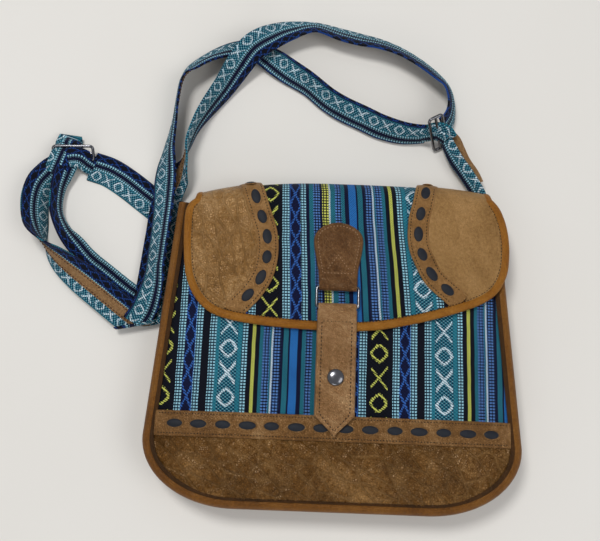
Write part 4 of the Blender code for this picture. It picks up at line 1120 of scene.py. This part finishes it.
def make_gusset_and_back(looks):
    outer = body_outline(PIPING_R - 1.0 * MM, 40, 20, 30)
    grid = []
    for share in np.linspace(1, 0, 12):
        row = []
        for x, y in outer:
            bow = 1.2 * MM * (1 - (2 * share - 1) ** 2) + 0.5 * MM * ripple(x + y, share * 0.02, 24, 2.0)
            low = 2 * PIPING_R - 0.4 * MM
            height = low + (piping_z(y) - PIPING_R + 0.4 * MM - low) * share
            row.append(Vector((x * (1 - bow / HALF_WIDTH), y + bow * (y < CORNER_Y), height)))
        grid.append(row)
    piece = shell("gusset_leather", grid, 2.0 * MM, [looks["bottom_smooth"]])
    settle(piece, "bag", "panel_leather", "gusset")
    low = BOTTOM_Y + SEAM_INSET
    ys = panel_levels(low, 14, MOUTH_Y, 40)
    rows = []
    for y in ys:
        reach = inset_half_width(y, SEAM_INSET)
        row = []
        for u in np.linspace(1, -1, 61):
            lift = 2.3 * MM * smooth_step(58 * MM, 80 * MM, y)
            dent = 0.5 * MM * (0.5 + 0.5 * ripple(reach * u, y, 20, 9.0)) * (1 - abs(u) ** 8)
            row.append(Vector((reach * u, y, lift + dent)))
        rows.append(row)
    back = shell("back_leather", rows, 1.6 * MM, [looks["bottom_smooth"], looks["lining"]])
    settle(back, "bag", "panel_leather", "back_panel")


def make_lining(looks):
    """The inner bag, as a tube of cotton that closes along the bottom."""
    inset = SEAM_INSET + 0.4 * MM
    low = BOTTOM_Y + inset
    ys = panel_levels(low, 12, MOUTH_Y, 40)
    verts = []
    cols = 96
    for y in ys:
        reach = inset_half_width(y, inset)
        floor = 2.4 * MM + 2.3 * MM * smooth_step(56 * MM, 80 * MM, y)
        for k in range(cols):
            turn = 2 * math.pi * k / cols
            u = math.copysign(abs(math.cos(turn)) ** 0.35, math.cos(turn))
            x = reach * u
            roof = front_z(x, y) - 2.1 * MM
            share = 0.5 + 0.5 * math.copysign(abs(math.sin(turn)) ** 0.35, math.sin(turn))
            sag = 0.5 * MM * ripple(x, y, 45, 3.0 + share)
            verts.append((x, y, floor + (roof - floor) * share + sag * (0.5 - abs(share - 0.5)) * 2))
    faces = []
    for j in range(len(ys) - 1):
        for k in range(cols):
            a = j * cols + k
            b = j * cols + (k + 1) % cols
            faces.append((a, a + cols, b + cols, b))
    faces.append(tuple(range(cols - 1, -1, -1)))
    piece = add_mesh("inner_cotton", verts, faces, [looks["lining"]])
    settle(piece, "bag", "cotton_lining", "lining")


# Flap

def flap_edge(per_span=10):
    points = []
    for x, y in FLAP_EDGE:
        points.append(Vector((x * MM, 0.0 if y is None else flap_s(x * MM, y * MM))))
    return spline(points, per_span)


TUCK_LINE = even(flap_edge(6)[3:-3], 160)


def flap_grid_points(inset, across, down, per_span=10):
    edge = offset(flap_edge(per_span), -inset)
    edge[0].y = 0.0
    edge[-1].y = 0.0
    left = even(edge[:per_span * FLAP_LEFT_CORNER + 1], down + 1)
    low = even(edge[per_span * FLAP_LEFT_CORNER:per_span * FLAP_RIGHT_CORNER + 1], across + 1)
    right = list(reversed(even(edge[per_span * FLAP_RIGHT_CORNER:], down + 1)))
    rows = []
    for j in range(down + 1):
        v = j / down
        row = []
        for i in range(across + 1):
            u = i / across
            ruled = left[j].lerp(right[j], u) + left[0].lerp(right[0], u).lerp(low[i], v)
            corner = left[0].lerp(right[0], u).lerp(left[-1].lerp(right[-1], u), v)
            row.append(ruled - corner)
        rows.append(row)
    return rows


BACK_S = -(HINGE + math.pi / 2) * FOLD_R


def flap_uv(x, s):
    """Cloth coordinates of the flap: its stripes fan out a little to the right."""
    run = s - HINGE_ARC
    lean = 0.042 + (x / MM + 41) / 79 * 0.031
    return ((FLAP_SHIFT - x / MM + lean * run / MM) * MM, (fold_centre_y(x) / MM - run / MM - 42.5 + 18) * MM)


def make_flap_cloth(looks):
    inset = BINDING_W - 1.0 * MM
    rows = flap_grid_points(inset, 150, 60)
    top_left, top_right = rows[0][0].x, rows[0][-1].x
    margin = -(HINGE + math.pi / 2) * FOLD_R - 12 * MM
    above = []
    for s in np.linspace(margin, 0, 46)[:-1]:
        above.append([Vector((top_left + (top_right - top_left) * i / 150, s)) for i in range(151)])
    grid, uvs = [], []
    for row in reversed(above + rows):
        grid.append([flap_point(p.x, p.y, FOLD_T + 0.25 * MM * ripple(p.x, p.y, 30, 5.5)) for p in row])
        uvs.append([flap_uv(p.x, p.y) for p in row])
    piece = shell("flap_weave", grid, 1.5 * MM, [looks["cloth"]], uvs)
    flap_piece(piece)
    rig.replaces(piece, "flap_cloth", "top_cloth")
    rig.slot(piece, "woven_cotton")
    inner = []
    for row in reversed(above[6:] + rows):
        inner.append([flap_point(p.x, p.y, 0.9 * MM) for p in row])
    lining = shell("flap_cotton", inner, 0.7 * MM, [looks["lining"]])
    flap_piece(lining)
    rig.replaces(lining, "flap_lining")
    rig.slot(lining, "cotton_lining")


def make_binding(looks):
    line = offset(flap_edge(10), -BINDING_W / 2)
    first, last = line[0], line[-1]
    ends_left = [Vector((first.x, s)) for s in np.linspace(BACK_S * 0.92, -1 * MM, 16)]
    ends_right = [Vector((last.x, s)) for s in np.linspace(-1 * MM, BACK_S * 0.92, 16)]
    line = ends_left + line[1:-1] + ends_right
    points = [flap_point(p.x, p.y, 2.5 * MM) for p in line]
    ups = [(flap_point(p.x, p.y, 3.5 * MM) - flap_point(p.x, p.y, 2.5 * MM)) for p in line]
    half = BINDING_W / 2
    sides = [(half * 0.98, -0.4 * MM), (half * 0.85, -1.5 * MM), (0, -2.2 * MM), (-half, -1.6 * MM),
             (-half * 1.02, 0.6 * MM),
             (-half * 0.7, 1.7 * MM), (0, 2.25 * MM), (half * 0.6, 1.9 * MM), (half * 0.92, 1.0 * MM)]
    piece = tube_mesh("flap_edge_leather", points, ups, sides, [looks["tan"]])
    flap_piece(piece)
    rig.replaces(piece, "flap_binding")
    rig.slot(piece, "tan_leather")
    inner = offset(flap_edge(6), -(BINDING_W - 0.4 * MM))[2:-2]
    row = [(flap_point(p.x, p.y, 4.3 * MM), Vector((0, 0, 1))) for p in inner]
    seam = stitches("flap_edge_stitches", [row], 2.5 * MM, 1.6 * MM, 0.7 * MM, 0.25 * MM,
                    looks["dark_thread"])
    flap_piece(seam)
    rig.slot(seam, "tan_leather")


def make_corner(side, points, outward, looks):
    edge_line = spline([Vector((x * MM, y * MM)) for x, y in points], 10)
    end = edge_line[-1]
    run_out = (edge_line[-1] - edge_line[-3]).normalized()
    edge_line += [end + run_out * d for d in np.linspace(1 * MM, 7 * MM, 6)]
    start = edge_line[0]
    lean = (edge_line[1] - edge_line[0]).normalized()
    extra = [start - lean * d for d in np.linspace(44 * MM, 1.5 * MM, 28)]
    band_edge = extra + edge_line
    band_line = offset(band_edge, outward * CORNER_BAND_W / 2)
    inner = offset(band_edge, outward * (CORNER_BAND_W - 1.5 * MM))
    piece = strip(f"corner_band_{side}", band_line, CORNER_BAND_W, 3.7 * MM, 1.2 * MM, tucked,
                  looks["patch_smooth"])
    flap_piece(piece)
    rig.replaces(piece, f"flap_lace_band_{side}")
    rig.slot(piece, "corner_leather")
    edge = offset(flap_edge(10), -(BINDING_W - 1.2 * MM))
    if side == "left":
        outer = edge[2:10 * FLAP_LEFT_CORNER + 12]
        top = outer[0].x
    else:
        outer = list(reversed(edge[10 * FLAP_RIGHT_CORNER - 3:-2]))
        top = outer[0].x
    outer = [Vector((top, s)) for s in np.linspace(BACK_S * 0.95, outer[0].y - 2 * MM, 24)] + outer
    outer = even(outer, 110)
    line = even([Vector((p.x, flap_s(p.x, p.y))) for p in inner], 110)
    grid = []
    for a, b in zip(outer, line):
        row = []
        for u in np.linspace(0, 1, 56):
            p = a.lerp(b, u)
            edge_fade = min(1.0, u * 8, (1 - u) * 8 + 0.2)
            fall = 1.0 if side == "left" else 0.35
            along = p.x * 0.94 + p.y * 0.34
            crease = 1 - abs(noise.noise(Vector((along * 75 + 1.4 * ripple(p.x, p.y, 22, 2.0), p.y * 9,
                                                 0.3))))
            soft = fall * (0.8 * MM * ripple(p.x, p.y, 38, 6.0) + 0.95 * MM * (crease ** 5 - 0.4))
            row.append(flap_point(p.x, p.y, PATCH_H + PATCH_T + soft * edge_fade * smooth_step(-0.01, 0.03,
                                                                                               p.y)))
        grid.append(row)
    if side == "right":
        grid = [list(reversed(row)) for row in grid]
    grid = list(reversed(grid))
    patch = shell(f"corner_leather_{side}", grid, PATCH_T,
                  [looks["patch" if side == "left" else "patch_right"]])
    flap_piece(patch)
    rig.replaces(patch, f"flap_corner_{side}")
    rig.slot(patch, "corner_leather")
    length = line_length(band_line)
    real = line_length(offset(edge_line, outward * CORNER_BAND_W / 2)) - 7 * MM
    pitch = 17.0 * MM
    middle = length - 7 * MM - real / 2
    centres = [middle + pitch * i + 0.9 * MM * math.sin(3.1 * i) for i in range(-4, 3)]
    lace, rims = lacing(f"corner_lacing_{side}", band_line, centres, 12.4 * MM, 7.6 * MM, 5.1 * MM, on_flap,
                        looks["suede"], looks["patch_smooth"])
    flap_piece(lace)
    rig.replaces(lace, f"flap_lace_{side}")
    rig.slot(lace, "navy_suede")
    flap_piece(rims)
    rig.slot(rims, "corner_leather")
    rows = []
    for shift in (1.8 * MM, CORNER_BAND_W - 1.8 * MM):
        rows.append(surface_row(offset(band_edge, outward * shift)[18:-6], on_flap, 5.0 * MM))
    seam = stitches(f"corner_stitches_{side}", rows, 2.5 * MM, 1.6 * MM, 0.8 * MM, 0.3 * MM,
                    looks["dark_thread"])
    flap_piece(seam)
    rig.slot(seam, "corner_leather")


# Closure

def tab_half_width(y):
    if y > 80 * MM:
        return 18.5 * MM * math.sqrt(max(0.02, 1 - ((y - 80 * MM) / (14 * MM)) ** 2 * 0.98))
    share = smooth_step(48 * MM, 80 * MM, y)
    return 14.2 * MM + 4.3 * MM * share


def loop_profile(y, z, side, reach_y, reach_z):
    """Points round the rolled end of a strap: plate top, round the wire, plate underside."""
    points = [(reach_y, reach_z + 1.6 * MM)]
    for i in range(15):
        turn = math.radians(80 - 250 * i / 14)
        points.append((y + side * -1 * 2.9 * MM * math.cos(turn), z + 2.9 * MM * math.sin(turn)))
    points.append((reach_y, reach_z))
    return points


def make_loop(name, y, z, side, reach_y, reach_z, half, material):
    outline = loop_profile(y, z, side, reach_y, reach_z)
    verts, faces = [], []
    cols = [-1, -0.97, -0.6, 0, 0.6, 0.97, 1]
    for u in cols:
        shrink = 0.25 * MM if abs(u) == 1 else 0.0
        for a, b in outline:
            verts.append((CLOSURE_X + half * u, a + (y - a) * shrink * 100, b + (z - b) * shrink * 100))
    ring = len(outline)
    for i in range(len(cols) - 1):
        for k in range(ring):
            a = i * ring + k
            b = i * ring + (k + 1) % ring
            faces.append((a, b, b + ring, a + ring) if side < 0 else (a, a + ring, b + ring, b))
    faces.append(tuple(range(ring)) if side > 0 else tuple(reversed(range(ring))))
    last = (len(cols) - 1) * ring
    faces.append(tuple(last + k for k in (reversed(range(ring)) if side > 0 else range(ring))))
    return add_mesh(name, verts, faces, [material], sharp=60)


def make_tab(looks):
    levels = list(np.linspace(RING_TOP_Y + 2.0 * MM, 80 * MM, 26))
    levels += [80 * MM + 14 * MM * math.sin(math.pi / 2 * i / 12) for i in range(1, 13)]
    grid = []
    for y in levels:
        reach = tab_half_width(y)
        row = []
        for u in np.linspace(-1, 1, 33):
            x = CLOSURE_X + reach * u
            edge = abs(u) ** 8 * 0.5 * MM
            rise = smooth_step(60 * MM, 44 * MM, y) * 3.6 * MM
            soft = 0.35 * MM * ripple(x, y, 55, 8.0)
            row.append(on_flap(x, y, 4.7 * MM + rise + soft - edge))
        grid.append(row)
    tab = shell("tab_leather", grid, 2.0 * MM, [looks["dark"]])
    settle(tab, "flap", "closure_leather", "closure_tab")
    seat = grid[1][16].z - 2.2 * MM
    loop = make_loop("tab_loop", RING_TOP_Y, RING_Z, 1, 46 * MM, seat, 14.2 * MM, looks["dark"])
    settle(loop, "flap", "closure_leather")

    def on_tab(x, y):
        rise = smooth_step(60 * MM, 44 * MM, y) * 3.6 * MM
        return (on_flap(x, y, 4.9 * MM + rise), surface_up(x, y, on_flap))

    outline = []
    inset = 2.6 * MM
    for y in np.linspace(52 * MM, 80 * MM, 14):
        outline.append((CLOSURE_X - tab_half_width(y) + inset, y))
    for i in range(1, 20):
        turn = math.pi - math.pi * i / 20
        outline.append((CLOSURE_X + (18.5 * MM - inset) * math.cos(turn),
                        80 * MM + (14 * MM - inset) * math.sin(turn)))
    for y in np.linspace(80 * MM, 52 * MM, 14):
        outline.append((CLOSURE_X + tab_half_width(y) - inset, y))
    rows = [[on_tab(x, y) for x, y in outline]]
    cross = [(CLOSURE_X + x * MM, 52 * MM) for x in np.linspace(-11.5, 11.5, 10)]
    rows.append([on_tab(x, y) for x, y in cross])
    triangle = [(-8.5, 55), (-4, 61.5), (0, 67), (4, 61.5), (8.5, 55)]
    rows.append([on_tab(CLOSURE_X + x * MM, y * MM) for x, y in triangle])
    seam = stitches("tab_stitches", rows, 2.5 * MM, 1.3 * MM, 0.8 * MM, 0.25 * MM, looks["light_thread"])
    settle(seam, "flap", "closure_leather")


def make_ring(looks):
    corner = 1.8 * MM
    points = []
    for sx, sy, start in ((1, 1, 0), (-1, 1, 90), (-1, -1, 180), (1, -1, 270)):
        cx = CLOSURE_X + sx * (RING_HALF_W - corner)
        cy = (RING_TOP_Y + RING_LOW_Y) / 2 + sy * ((RING_TOP_Y - RING_LOW_Y) / 2 - corner)
        for i in range(9):
            turn = math.radians(start + 11.25 * i)
            points.append(Vector((cx + corner * math.cos(turn), cy + corner * math.sin(turn), RING_Z)))
    ring = tube_mesh("ring_wire", points, [(0, 0, 1)] * len(points), round_sides(1.2 * MM, 14),
                     [looks["metal"]], closed=True)
    settle(ring, "ring", "nickel", "ring")


def make_closure_strap(looks):
    top = STRAP_BACK_Z + STRAP_T
    levels = list(np.linspace(RING_LOW_Y - 3 * MM, STRAP_SHOULDER_Y, 44))
    levels += list(np.linspace(STRAP_SHOULDER_Y, STRAP_TIP_Y, 12))[1:]
    grid = []
    for y in levels:
        taper = (y - STRAP_TIP_Y) / (STRAP_SHOULDER_Y - STRAP_TIP_Y)
        taper = 1.0 if y > STRAP_SHOULDER_Y else max(0.03, taper)
        row = []
        for u in np.linspace(1, -1, 33):
            x = CLOSURE_X + STRAP_HALF_W * taper * u
            soft = 0.3 * MM * ripple(x, y, 40, 11.0) - 0.5 * MM * abs(u) ** 8
            bulge = 0.5 * MM * smooth_step(10 * MM, 20 * MM, y)
            row.append(Vector((x, y, top + soft + bulge)))
        grid.append(row)
    strap = shell("closure_strap_leather", grid, 2.6 * MM, [looks["strap"]])
    settle(strap, "closure_strap", "closure_leather", "closure_strap")
    loop = make_loop("strap_loop", RING_LOW_Y, RING_Z, -1, 16 * MM, STRAP_BACK_Z + 0.4 * MM, 14.2 * MM,
                     looks["strap"])
    settle(loop, "closure_strap", "closure_leather")
    inset = 3.0 * MM
    half = STRAP_HALF_W - inset
    path = [(-half, 14.5), (half, 14.5), (half, -53.5), (0, -66), (-half, -53.5), (-half, 14.5)]
    rows = []
    for (ax, ay), (bx, by) in zip(path, path[1:]):
        row = []
        for t in np.linspace(0, 1, 8):
            x = CLOSURE_X + ax + (bx - ax) * t
            y = (ay + (by - ay) * t) * MM
            row.append((Vector((x, y, top + 0.12 * MM)), Vector((0, 0, 1))))
        rows.append(row)
    seam = stitches("closure_strap_stitches", rows, 2.7 * MM, 1.7 * MM, 0.8 * MM, 0.3 * MM,
                    looks["dark_thread"])
    settle(seam, "closure_strap", "closure_leather")


def lathe(name, profile, centre, material, steps=40):
    verts, faces = [], []
    for r, z in profile:
        for k in range(steps):
            turn = 2 * math.pi * k / steps
            verts.append((centre[0] + r * math.cos(turn), centre[1] + r * math.sin(turn), centre[2] + z))
    for j in range(len(profile) - 1):
        for k in range(steps):
            a = j * steps + k
            b = j * steps + (k + 1) % steps
            faces.append((a, a + steps, b + steps, b))
    return add_mesh(name, verts, faces, [material], sharp=50)


def make_snap(looks):
    top = STRAP_BACK_Z + STRAP_T + 0.3 * MM
    dome = [(0.05 * MM, 3.0 * MM)]
    dome += [(6.2 * MM * math.sin(math.pi / 2 * i / 14),
              0.7 * MM + 2.3 * MM * math.cos(math.pi / 2 * i / 14) ** 0.8)
             for i in range(1, 14)]
    dome += [(6.2 * MM, 0.5 * MM), (6.1 * MM, 0.1 * MM), (5.6 * MM, -0.3 * MM), (1.5 * MM, -0.3 * MM),
             (1.5 * MM, -3 * MM),
             (0.05 * MM, -3.1 * MM)]
    cap = lathe("snap_dome", dome, (CLOSURE_X, SNAP_Y, top), looks["metal"])
    settle(cap, "closure_strap", "nickel", "snap_cap")
    face = STRAP_BACK_Z - 0.3 * MM
    socket = [(1.7 * MM, -0.4 * MM), (2.4 * MM, -0.5 * MM), (2.4 * MM, -2.0 * MM), (2.7 * MM, -2.2 * MM),
              (3.4 * MM, -2.2 * MM),
              (4.6 * MM, -1.2 * MM), (5.0 * MM, -0.4 * MM), (5.0 * MM, 0.0), (0.05 * MM, 0.0)]
    under = lathe("snap_socket_ring", socket, (CLOSURE_X, SNAP_Y, face), looks["metal"])
    settle(under, "closure_strap", "nickel", "snap_socket")
    base = front_z(CLOSURE_X, SNAP_Y) + 0.3 * MM
    ball = face - 0.7 * MM - 1.8 * MM
    stud = [(0.05 * MM, ball + 1.8 * MM)]
    stud += [(1.8 * MM * math.sin(math.pi * i / 16),
              ball + 1.8 * MM * math.cos(math.pi * i / 16)) for i in range(1, 12)]
    stud += [(1.2 * MM, base + 1.0 * MM), (2.4 * MM, base + 0.8 * MM), (3.8 * MM, base + 0.7 * MM),
             (4.4 * MM, base + 0.4 * MM),
             (4.4 * MM, base), (0.05 * MM, base)]
    post = lathe("snap_post", stud, (CLOSURE_X, SNAP_Y, 0.0), looks["metal"])
    settle(post, "bag", "nickel", "snap_stud")


# Shoulder strap

class Band:
    """Collects the webbing and leather strip of one strap into a single mesh."""

    def __init__(self):
        self.verts, self.faces, self.uvs, self.marks, self.path = [], [], [], [], []
        self.seams = []
        self.run = 0.0

    def add(self, route, width=1.0, shift=0.0, start_cut=None, end_cut=None, curl=0.9 * MM):
        """Sweeps the webbing along a route. A cut is (point, angle) of the crease at a folded end."""
        dense = spline([Vector((*[c * MM for c in p[:3]], p[3])) for p in route], 7)
        points = [Vector(p[:3]) for p in dense]
        rolls = [math.radians(p[3]) for p in dense]
        wave = 0.0
        frames = []
        for i, point in enumerate(points):
            before = points[max(0, i - 1)]
            after = points[min(len(points) - 1, i + 1)]
            along = (after - before).normalized()
            side = along.cross(Vector((0, 0, 1))).normalized()
            up = side.cross(along)
            wide = side * math.cos(rolls[i]) + up * math.sin(rolls[i])
            if i:
                wave += (point - points[i - 1]).length
            frames.append((point, wide, wide.cross(along), self.run + wave, along))
        half = WEB_W / 2 * width
        across = [-1, -0.985, -0.8, -0.6, -0.4, -0.24, -0.16, 0, 0.16, 0.24, 0.4, 0.6, 0.8, 0.985, 1]

        def height(u):
            edge = -0.45 * MM * max(0.0, abs(u) - 0.9) / 0.1
            return WEB_T / 2 - 0.1 * MM + edge - 0.35 * MM * math.exp(-((u - 0.05) / 0.12) ** 2)

        cuts = (start_cut, end_cut)
        section = [(u, height(u)) for u in across]
        section += [(u, -WEB_T / 2 + 0.5 * MM) for u in reversed(across)]
        self._sweep(frames, section, half, curl, 0, cuts, shift)
        strip_section = [(u * 0.35, -WEB_T / 2 + 0.55 * MM) for u in (1, 0.5, 0, -0.5, -1)]
        strip_section += [(-0.36, -WEB_T / 2 - 0.1 * MM)]
        strip_section += [(u * 0.34, -WEB_T / 2 - 0.3 * MM) for u in (-1, -0.5, 0, 0.5, 1)]
        strip_section += [(0.36, -WEB_T / 2 - 0.1 * MM)]
        self._sweep(frames, strip_section, half, curl, 1, cuts, shift)
        for u in (-0.26, 0.26):
            row = []
            for point, wide, face, _, along in frames:
                drop = -WEB_T / 2 - 0.35 * MM - curl * u * u
                spot = self._trim(point + wide * (half * u) + face * drop, along, cuts)
                row.append((spot, -face))
            self.seams.append(row)
        self.path += [tuple(point) for point, *_ in frames]
        self.run += wave

    @staticmethod
    def _trim(spot, along, cuts):
        """Slides a point beyond a crease back to it along the webbing."""
        for cut, way in zip(cuts, (-1, 1)):
            if cut:
                turn = math.radians(cut[1])
                out = Vector((math.sin(turn), -math.cos(turn), 0))
                past = (spot - Vector((cut[0][0] * MM, cut[0][1] * MM, spot.z))).dot(out)
                slope = along.dot(out) * way
                if past > 0 and slope > 0.1:
                    spot = spot - along * (way * past / slope)
        return spot

    def _sweep(self, frames, section, half, curl, mark, cuts, shift):
        base = len(self.verts)
        ring = len(section)
        for point, wide, face, run, along in frames:
            for u, h in section:
                self.verts.append(self._trim(point + wide * (half * u) + face * (h - curl * u * u), along,
                                             cuts))
                self.uvs.append(((u * half / MM + 12.5 + shift) * MM, run))
        for i in range(len(frames) - 1):
            for k in range(ring):
                a = base + i * ring + k
                b = base + i * ring + (k + 1) % ring
                self.faces.append((a, a + ring, b + ring, b))
                self.marks.append(mark)
        self.faces.append(tuple(base + k for k in range(ring)))
        last = base + (len(frames) - 1) * ring
        self.faces.append(tuple(last + k for k in reversed(range(ring))))
        self.marks += [mark] * 2

    def crease(self, cut, reach, low, high):
        """The rounded edge where the webbing turns over on a crease."""
        turn = math.radians(cut[1])
        way = Vector((math.cos(turn), math.sin(turn), 0))
        out = Vector((math.sin(turn), -math.cos(turn), 0))
        centre = Vector((cut[0][0] * MM, cut[0][1] * MM, (low + high) / 2 * MM))
        radius = (high - low) / 2 * MM + WEB_T / 2
        base = len(self.verts)
        rows, ring = 24, 9
        for i in range(rows + 1):
            u = 2 * i / rows - 1
            for k in range(ring):
                angle = math.radians(-90 + 180 * k / (ring - 1))
                shrink = math.sqrt(max(0.0, 1 - abs(u) ** 10)) * 0.75 + 0.25
                spot = centre + way * (reach * MM * u)
                spot += out * (radius * math.cos(angle) * 0.8 * shrink)
                self.verts.append(spot + Vector((0, 0, radius * math.sin(angle) * shrink)))
                self.uvs.append(((12.5 - 12.5 * u) * MM, self.run + radius * angle + u * 12 * MM))
        for i in range(rows):
            for k in range(ring - 1):
                a = base + i * ring + k
                self.faces.append((a, a + ring, a + ring + 1, a + 1))
                self.marks.append(0)
        self.faces.append(tuple(base + k for k in range(ring)))
        self.faces.append(tuple(base + rows * ring + k for k in reversed(range(ring))))
        self.marks += [0, 0]

    def build(self, name, looks):
        return add_mesh(name, self.verts, self.faces, [looks["web"], looks["strip"]], self.uvs, self.marks,
                        sharp=60)


def slider(name, middle, across, upward, looks):
    centre = Vector(middle) * MM
    across = Vector(across).normalized()
    upward = (Vector(upward) - across * across.dot(Vector(upward))).normalized()
    corner = 2.5 * MM
    points = []
    for su, sv, start in ((1, 1, 0), (-1, 1, 90), (-1, -1, 180), (1, -1, 270)):
        for i in range(9):
            turn = math.radians(start + 11.25 * i)
            u = su * (17.5 * MM - 1.2 * MM - corner) + corner * math.cos(turn)
            v = sv * (6 * MM - corner) + corner * math.sin(turn)
            points.append(centre + across * u + upward * v)
    normal = across.cross(upward)
    frame = tube_mesh(name + "_frame", points, [normal] * len(points), round_sides(1.25 * MM, 12),
                      [looks["metal"]], closed=True)
    bar_points = [centre + across * (16.0 * MM * u) for u in np.linspace(-1, 1, 9)]
    bar = tube_mesh(name + "_bar", bar_points, [normal] * 9, round_sides(1.15 * MM, 12), [looks["metal"]])
    settle(frame, "bag", "nickel", name)
    settle(bar, "bag", "nickel")
    return frame, bar


def make_shoulder_strap(looks):
    first = Band()
    first.add(SHORT_LEFT)
    first.add(LEFT_BRIDGE, width=0.66, shift=3.5)
    first.add(LONG_A_LOWER, end_cut=CORNER_CREASE)
    first.crease(CORNER_CREASE, 17.0, 7.0, 9.9)
    first.add(LONG_A_UPPER, width=0.86, shift=-4.0, start_cut=CORNER_CREASE)
    first.add(RIGHT_BRIDGE, width=0.5)
    first.add(SHORT_RIGHT, width=0.5, shift=-2.5)
    strap_a = first.build("strap_a", looks)
    wraps = []
    for name, route, width, shift in (("left_wrap", LEFT_WRAP, 0.8, 2.5),
                                      ("right_wrap", RIGHT_WRAP, 0.7, -3.5)):
        wrap = Band()
        wrap.add(route, width, shift)
        wraps.append(wrap.build(name, looks))
        settle(wraps[-1], "bag", "woven_webbing")
    back = Band()
    back.add(RIGHT_LEATHER, width=0.36)
    wraps.append(add_mesh("right_leather", back.verts, back.faces, [looks["strip"], looks["strip"]], None,
                          back.marks, 60))
    settle(wraps[-1], "bag", "woven_webbing")
    second = Band()
    second.add(LONG_B_LOWER, width=0.62, shift=4.7)
    second.add(LONG_B_UPPER, width=0.92, start_cut=HIDDEN_CREASE)
    strap_b = second.build("strap_b", looks)
    settle(strap_a, "bag", "woven_webbing",
           "short_strap_left", "long_strap_a_lower", "long_strap_a_upper", "short_strap_right")
    settle(strap_b, "bag", "woven_webbing", "long_strap_b_lower", "long_strap_b_upper")
    seams_a = stitches("strap_a_stitches", first.seams, 2.8 * MM, 1.9 * MM, 0.9 * MM, 0.45 * MM,
                       looks["red_thread"])
    seams_b = stitches("strap_b_stitches", second.seams, 2.8 * MM, 1.9 * MM, 0.9 * MM, 0.45 * MM,
                       looks["red_thread"])
    for seams in (seams_a, seams_b):
        settle(seams, "bag", "woven_webbing")
    left = slider("slider_left", (-218.7, 151.5, 8.0), (1, 0.03, 0), (0, 0.8, 0.6), looks)
    right = slider("slider_right", (80.0, 178.3, 16.0), (-8.7, 15.7, 27.7), (0.88, 0.48, 0), looks)
    length_a = sum(math.dist(a, b) for a, b in zip(first.path, first.path[1:]))
    length_b = sum(math.dist(a, b) for a, b in zip(second.path, second.path[1:]))
    print("strap lengths", round(length_a, 3), round(length_b, 3))
    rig.cord(strap_a, exit=first.path[0], length=0.84, diameter=WEB_W, far_end="object", stiffness="medium",
            lay="loose",
            path=first.path, with_pieces=[seams_a, *left, *right, *wraps])
    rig.cord(strap_b, exit=second.path[0], length=0.64, diameter=WEB_W, far_end="object", stiffness="medium",
            lay="loose",
            path=second.path, with_pieces=[seams_b])


def make_floor(looks):
    bpy.ops.mesh.primitive_plane_add(size=6.0, location=(0, 0, 0))
    floor = bpy.context.object
    floor.name = "floor"
    floor.data.materials.append(looks["floor"])
    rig.stage(floor)


def make_looks():
    return {
        "cloth": jacquard("striped_jacquard", CLOTH_STRIPES, 6.0, 37.0, 1.1),
        "web": jacquard("webbing_jacquard", WEB_STRIPES, 3.9, 23.0, 1.0),
        # Every leather paints shade into its creases; the tenth number, where given, sets that shade and the eleventh
        # the painted highlight along the creases.
        "bottom": leather("creased_brown_leather", "#3f270b", "#674319", "#9c7443", 1.0, 1.0, 0.85, 0.3,
                          0.0, 0.6, 0.55),
        "bottom_smooth": leather("brown_leather", "#57391c", "#80592f", "#a68054", 1.2, 0.3, 0.3, 0.4, 0.15),
        "patch": leather("wrinkled_corner_leather", "#64441f", "#966d3b", "#c49c6a", 1.0, 0.9, 0.3, 0.32,
                         0.0, 0.5, 0.5),
        "patch_right": leather("pebbled_corner_leather", "#876134", "#ad8450", "#c49a66", 1.4, 0.3, 0.5,
                               0.45),
        "patch_smooth": leather("corner_band_leather", "#735028", "#9c7242", "#b58b58", 1.3, 0.3, 1.2, 0.42),
        "rim": leather("pulled_leather_rim", "#5d4020", "#7f5b33", "#a17c50", 1.3, 0.2, 0.0, 0.42),
        "tan": leather("tan_leather", "#8a5013", "#a66b20", "#b97f34", 1.6, 0.1, 0.3, 0.42),
        # Darker copy of the tan leather: painted shade of the piping where it curves under.
        "piping": leather("piping_leather", "#5e3510", "#80501c", "#966529", 1.6, 0.1, 0.3, 0.38),
        # Near-black copy of the tan leather: painted shade for the seam groove inside the piping.
        "tan_dark": leather("shaded_tan_leather", "#2a1605", "#3c2108", "#523010", 1.5, 0.2, 0.3, 0.6),
        "dark": leather("dark_tab_leather", "#3d2411", "#684425", "#916942", 1.2, 0.6, 0.5, 0.34, 0.2, 0.5,
                        0.4),
        "strap": leather("closure_leather", "#6b4a26", "#986f47", "#bd976b", 1.2, 0.4, 1.0, 0.36, 0.3, 0.4,
                         0.3),
        "strip": leather("strap_leather_strip", "#74532f", "#9c7750", "#b5946a", 1.4, 0.25, 0.4, 0.45),
        "suede": suede("navy_suede", "#030509", "#161d2a"),
        "lining": plain_cotton("brown_cotton", "#3a2c22", "#57463a"),
        "dark_thread": thread("dark_thread", "#21150d"),
        "red_thread": thread("dark_red_thread", "#3a1418"),
        "light_thread": thread("light_thread", "#b08a66"),
        "metal": metal("nickel_plate", "#76767a", 0.08),
        "floor": floor_cloth("pale_backdrop"),
    }


def main():
    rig.load()
    cad_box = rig.bounds()
    set_lights_and_camera()
    looks = make_looks()
    make_shoulder_strap(looks)
    make_front_cloth(looks)
    make_bottom_leather(looks)
    make_front_band(looks)
    make_pipings(looks)
    make_gusset_and_back(looks)
    make_lining(looks)
    make_flap_cloth(looks)
    make_binding(looks)
    make_corner("left", LEFT_CORNER_EDGE, -1, looks)
    make_corner("right", RIGHT_CORNER_EDGE, 1, looks)
    make_tab(looks)
    make_ring(looks)
    make_closure_strap(looks)
    make_snap(looks)
    make_floor(looks)
    boxes = {"cad": [list(p) for p in cad_box], "visual": [list(p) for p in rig.bounds()]}
    with open("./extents.json", "w") as out:
        json.dump(boxes, out)


main()
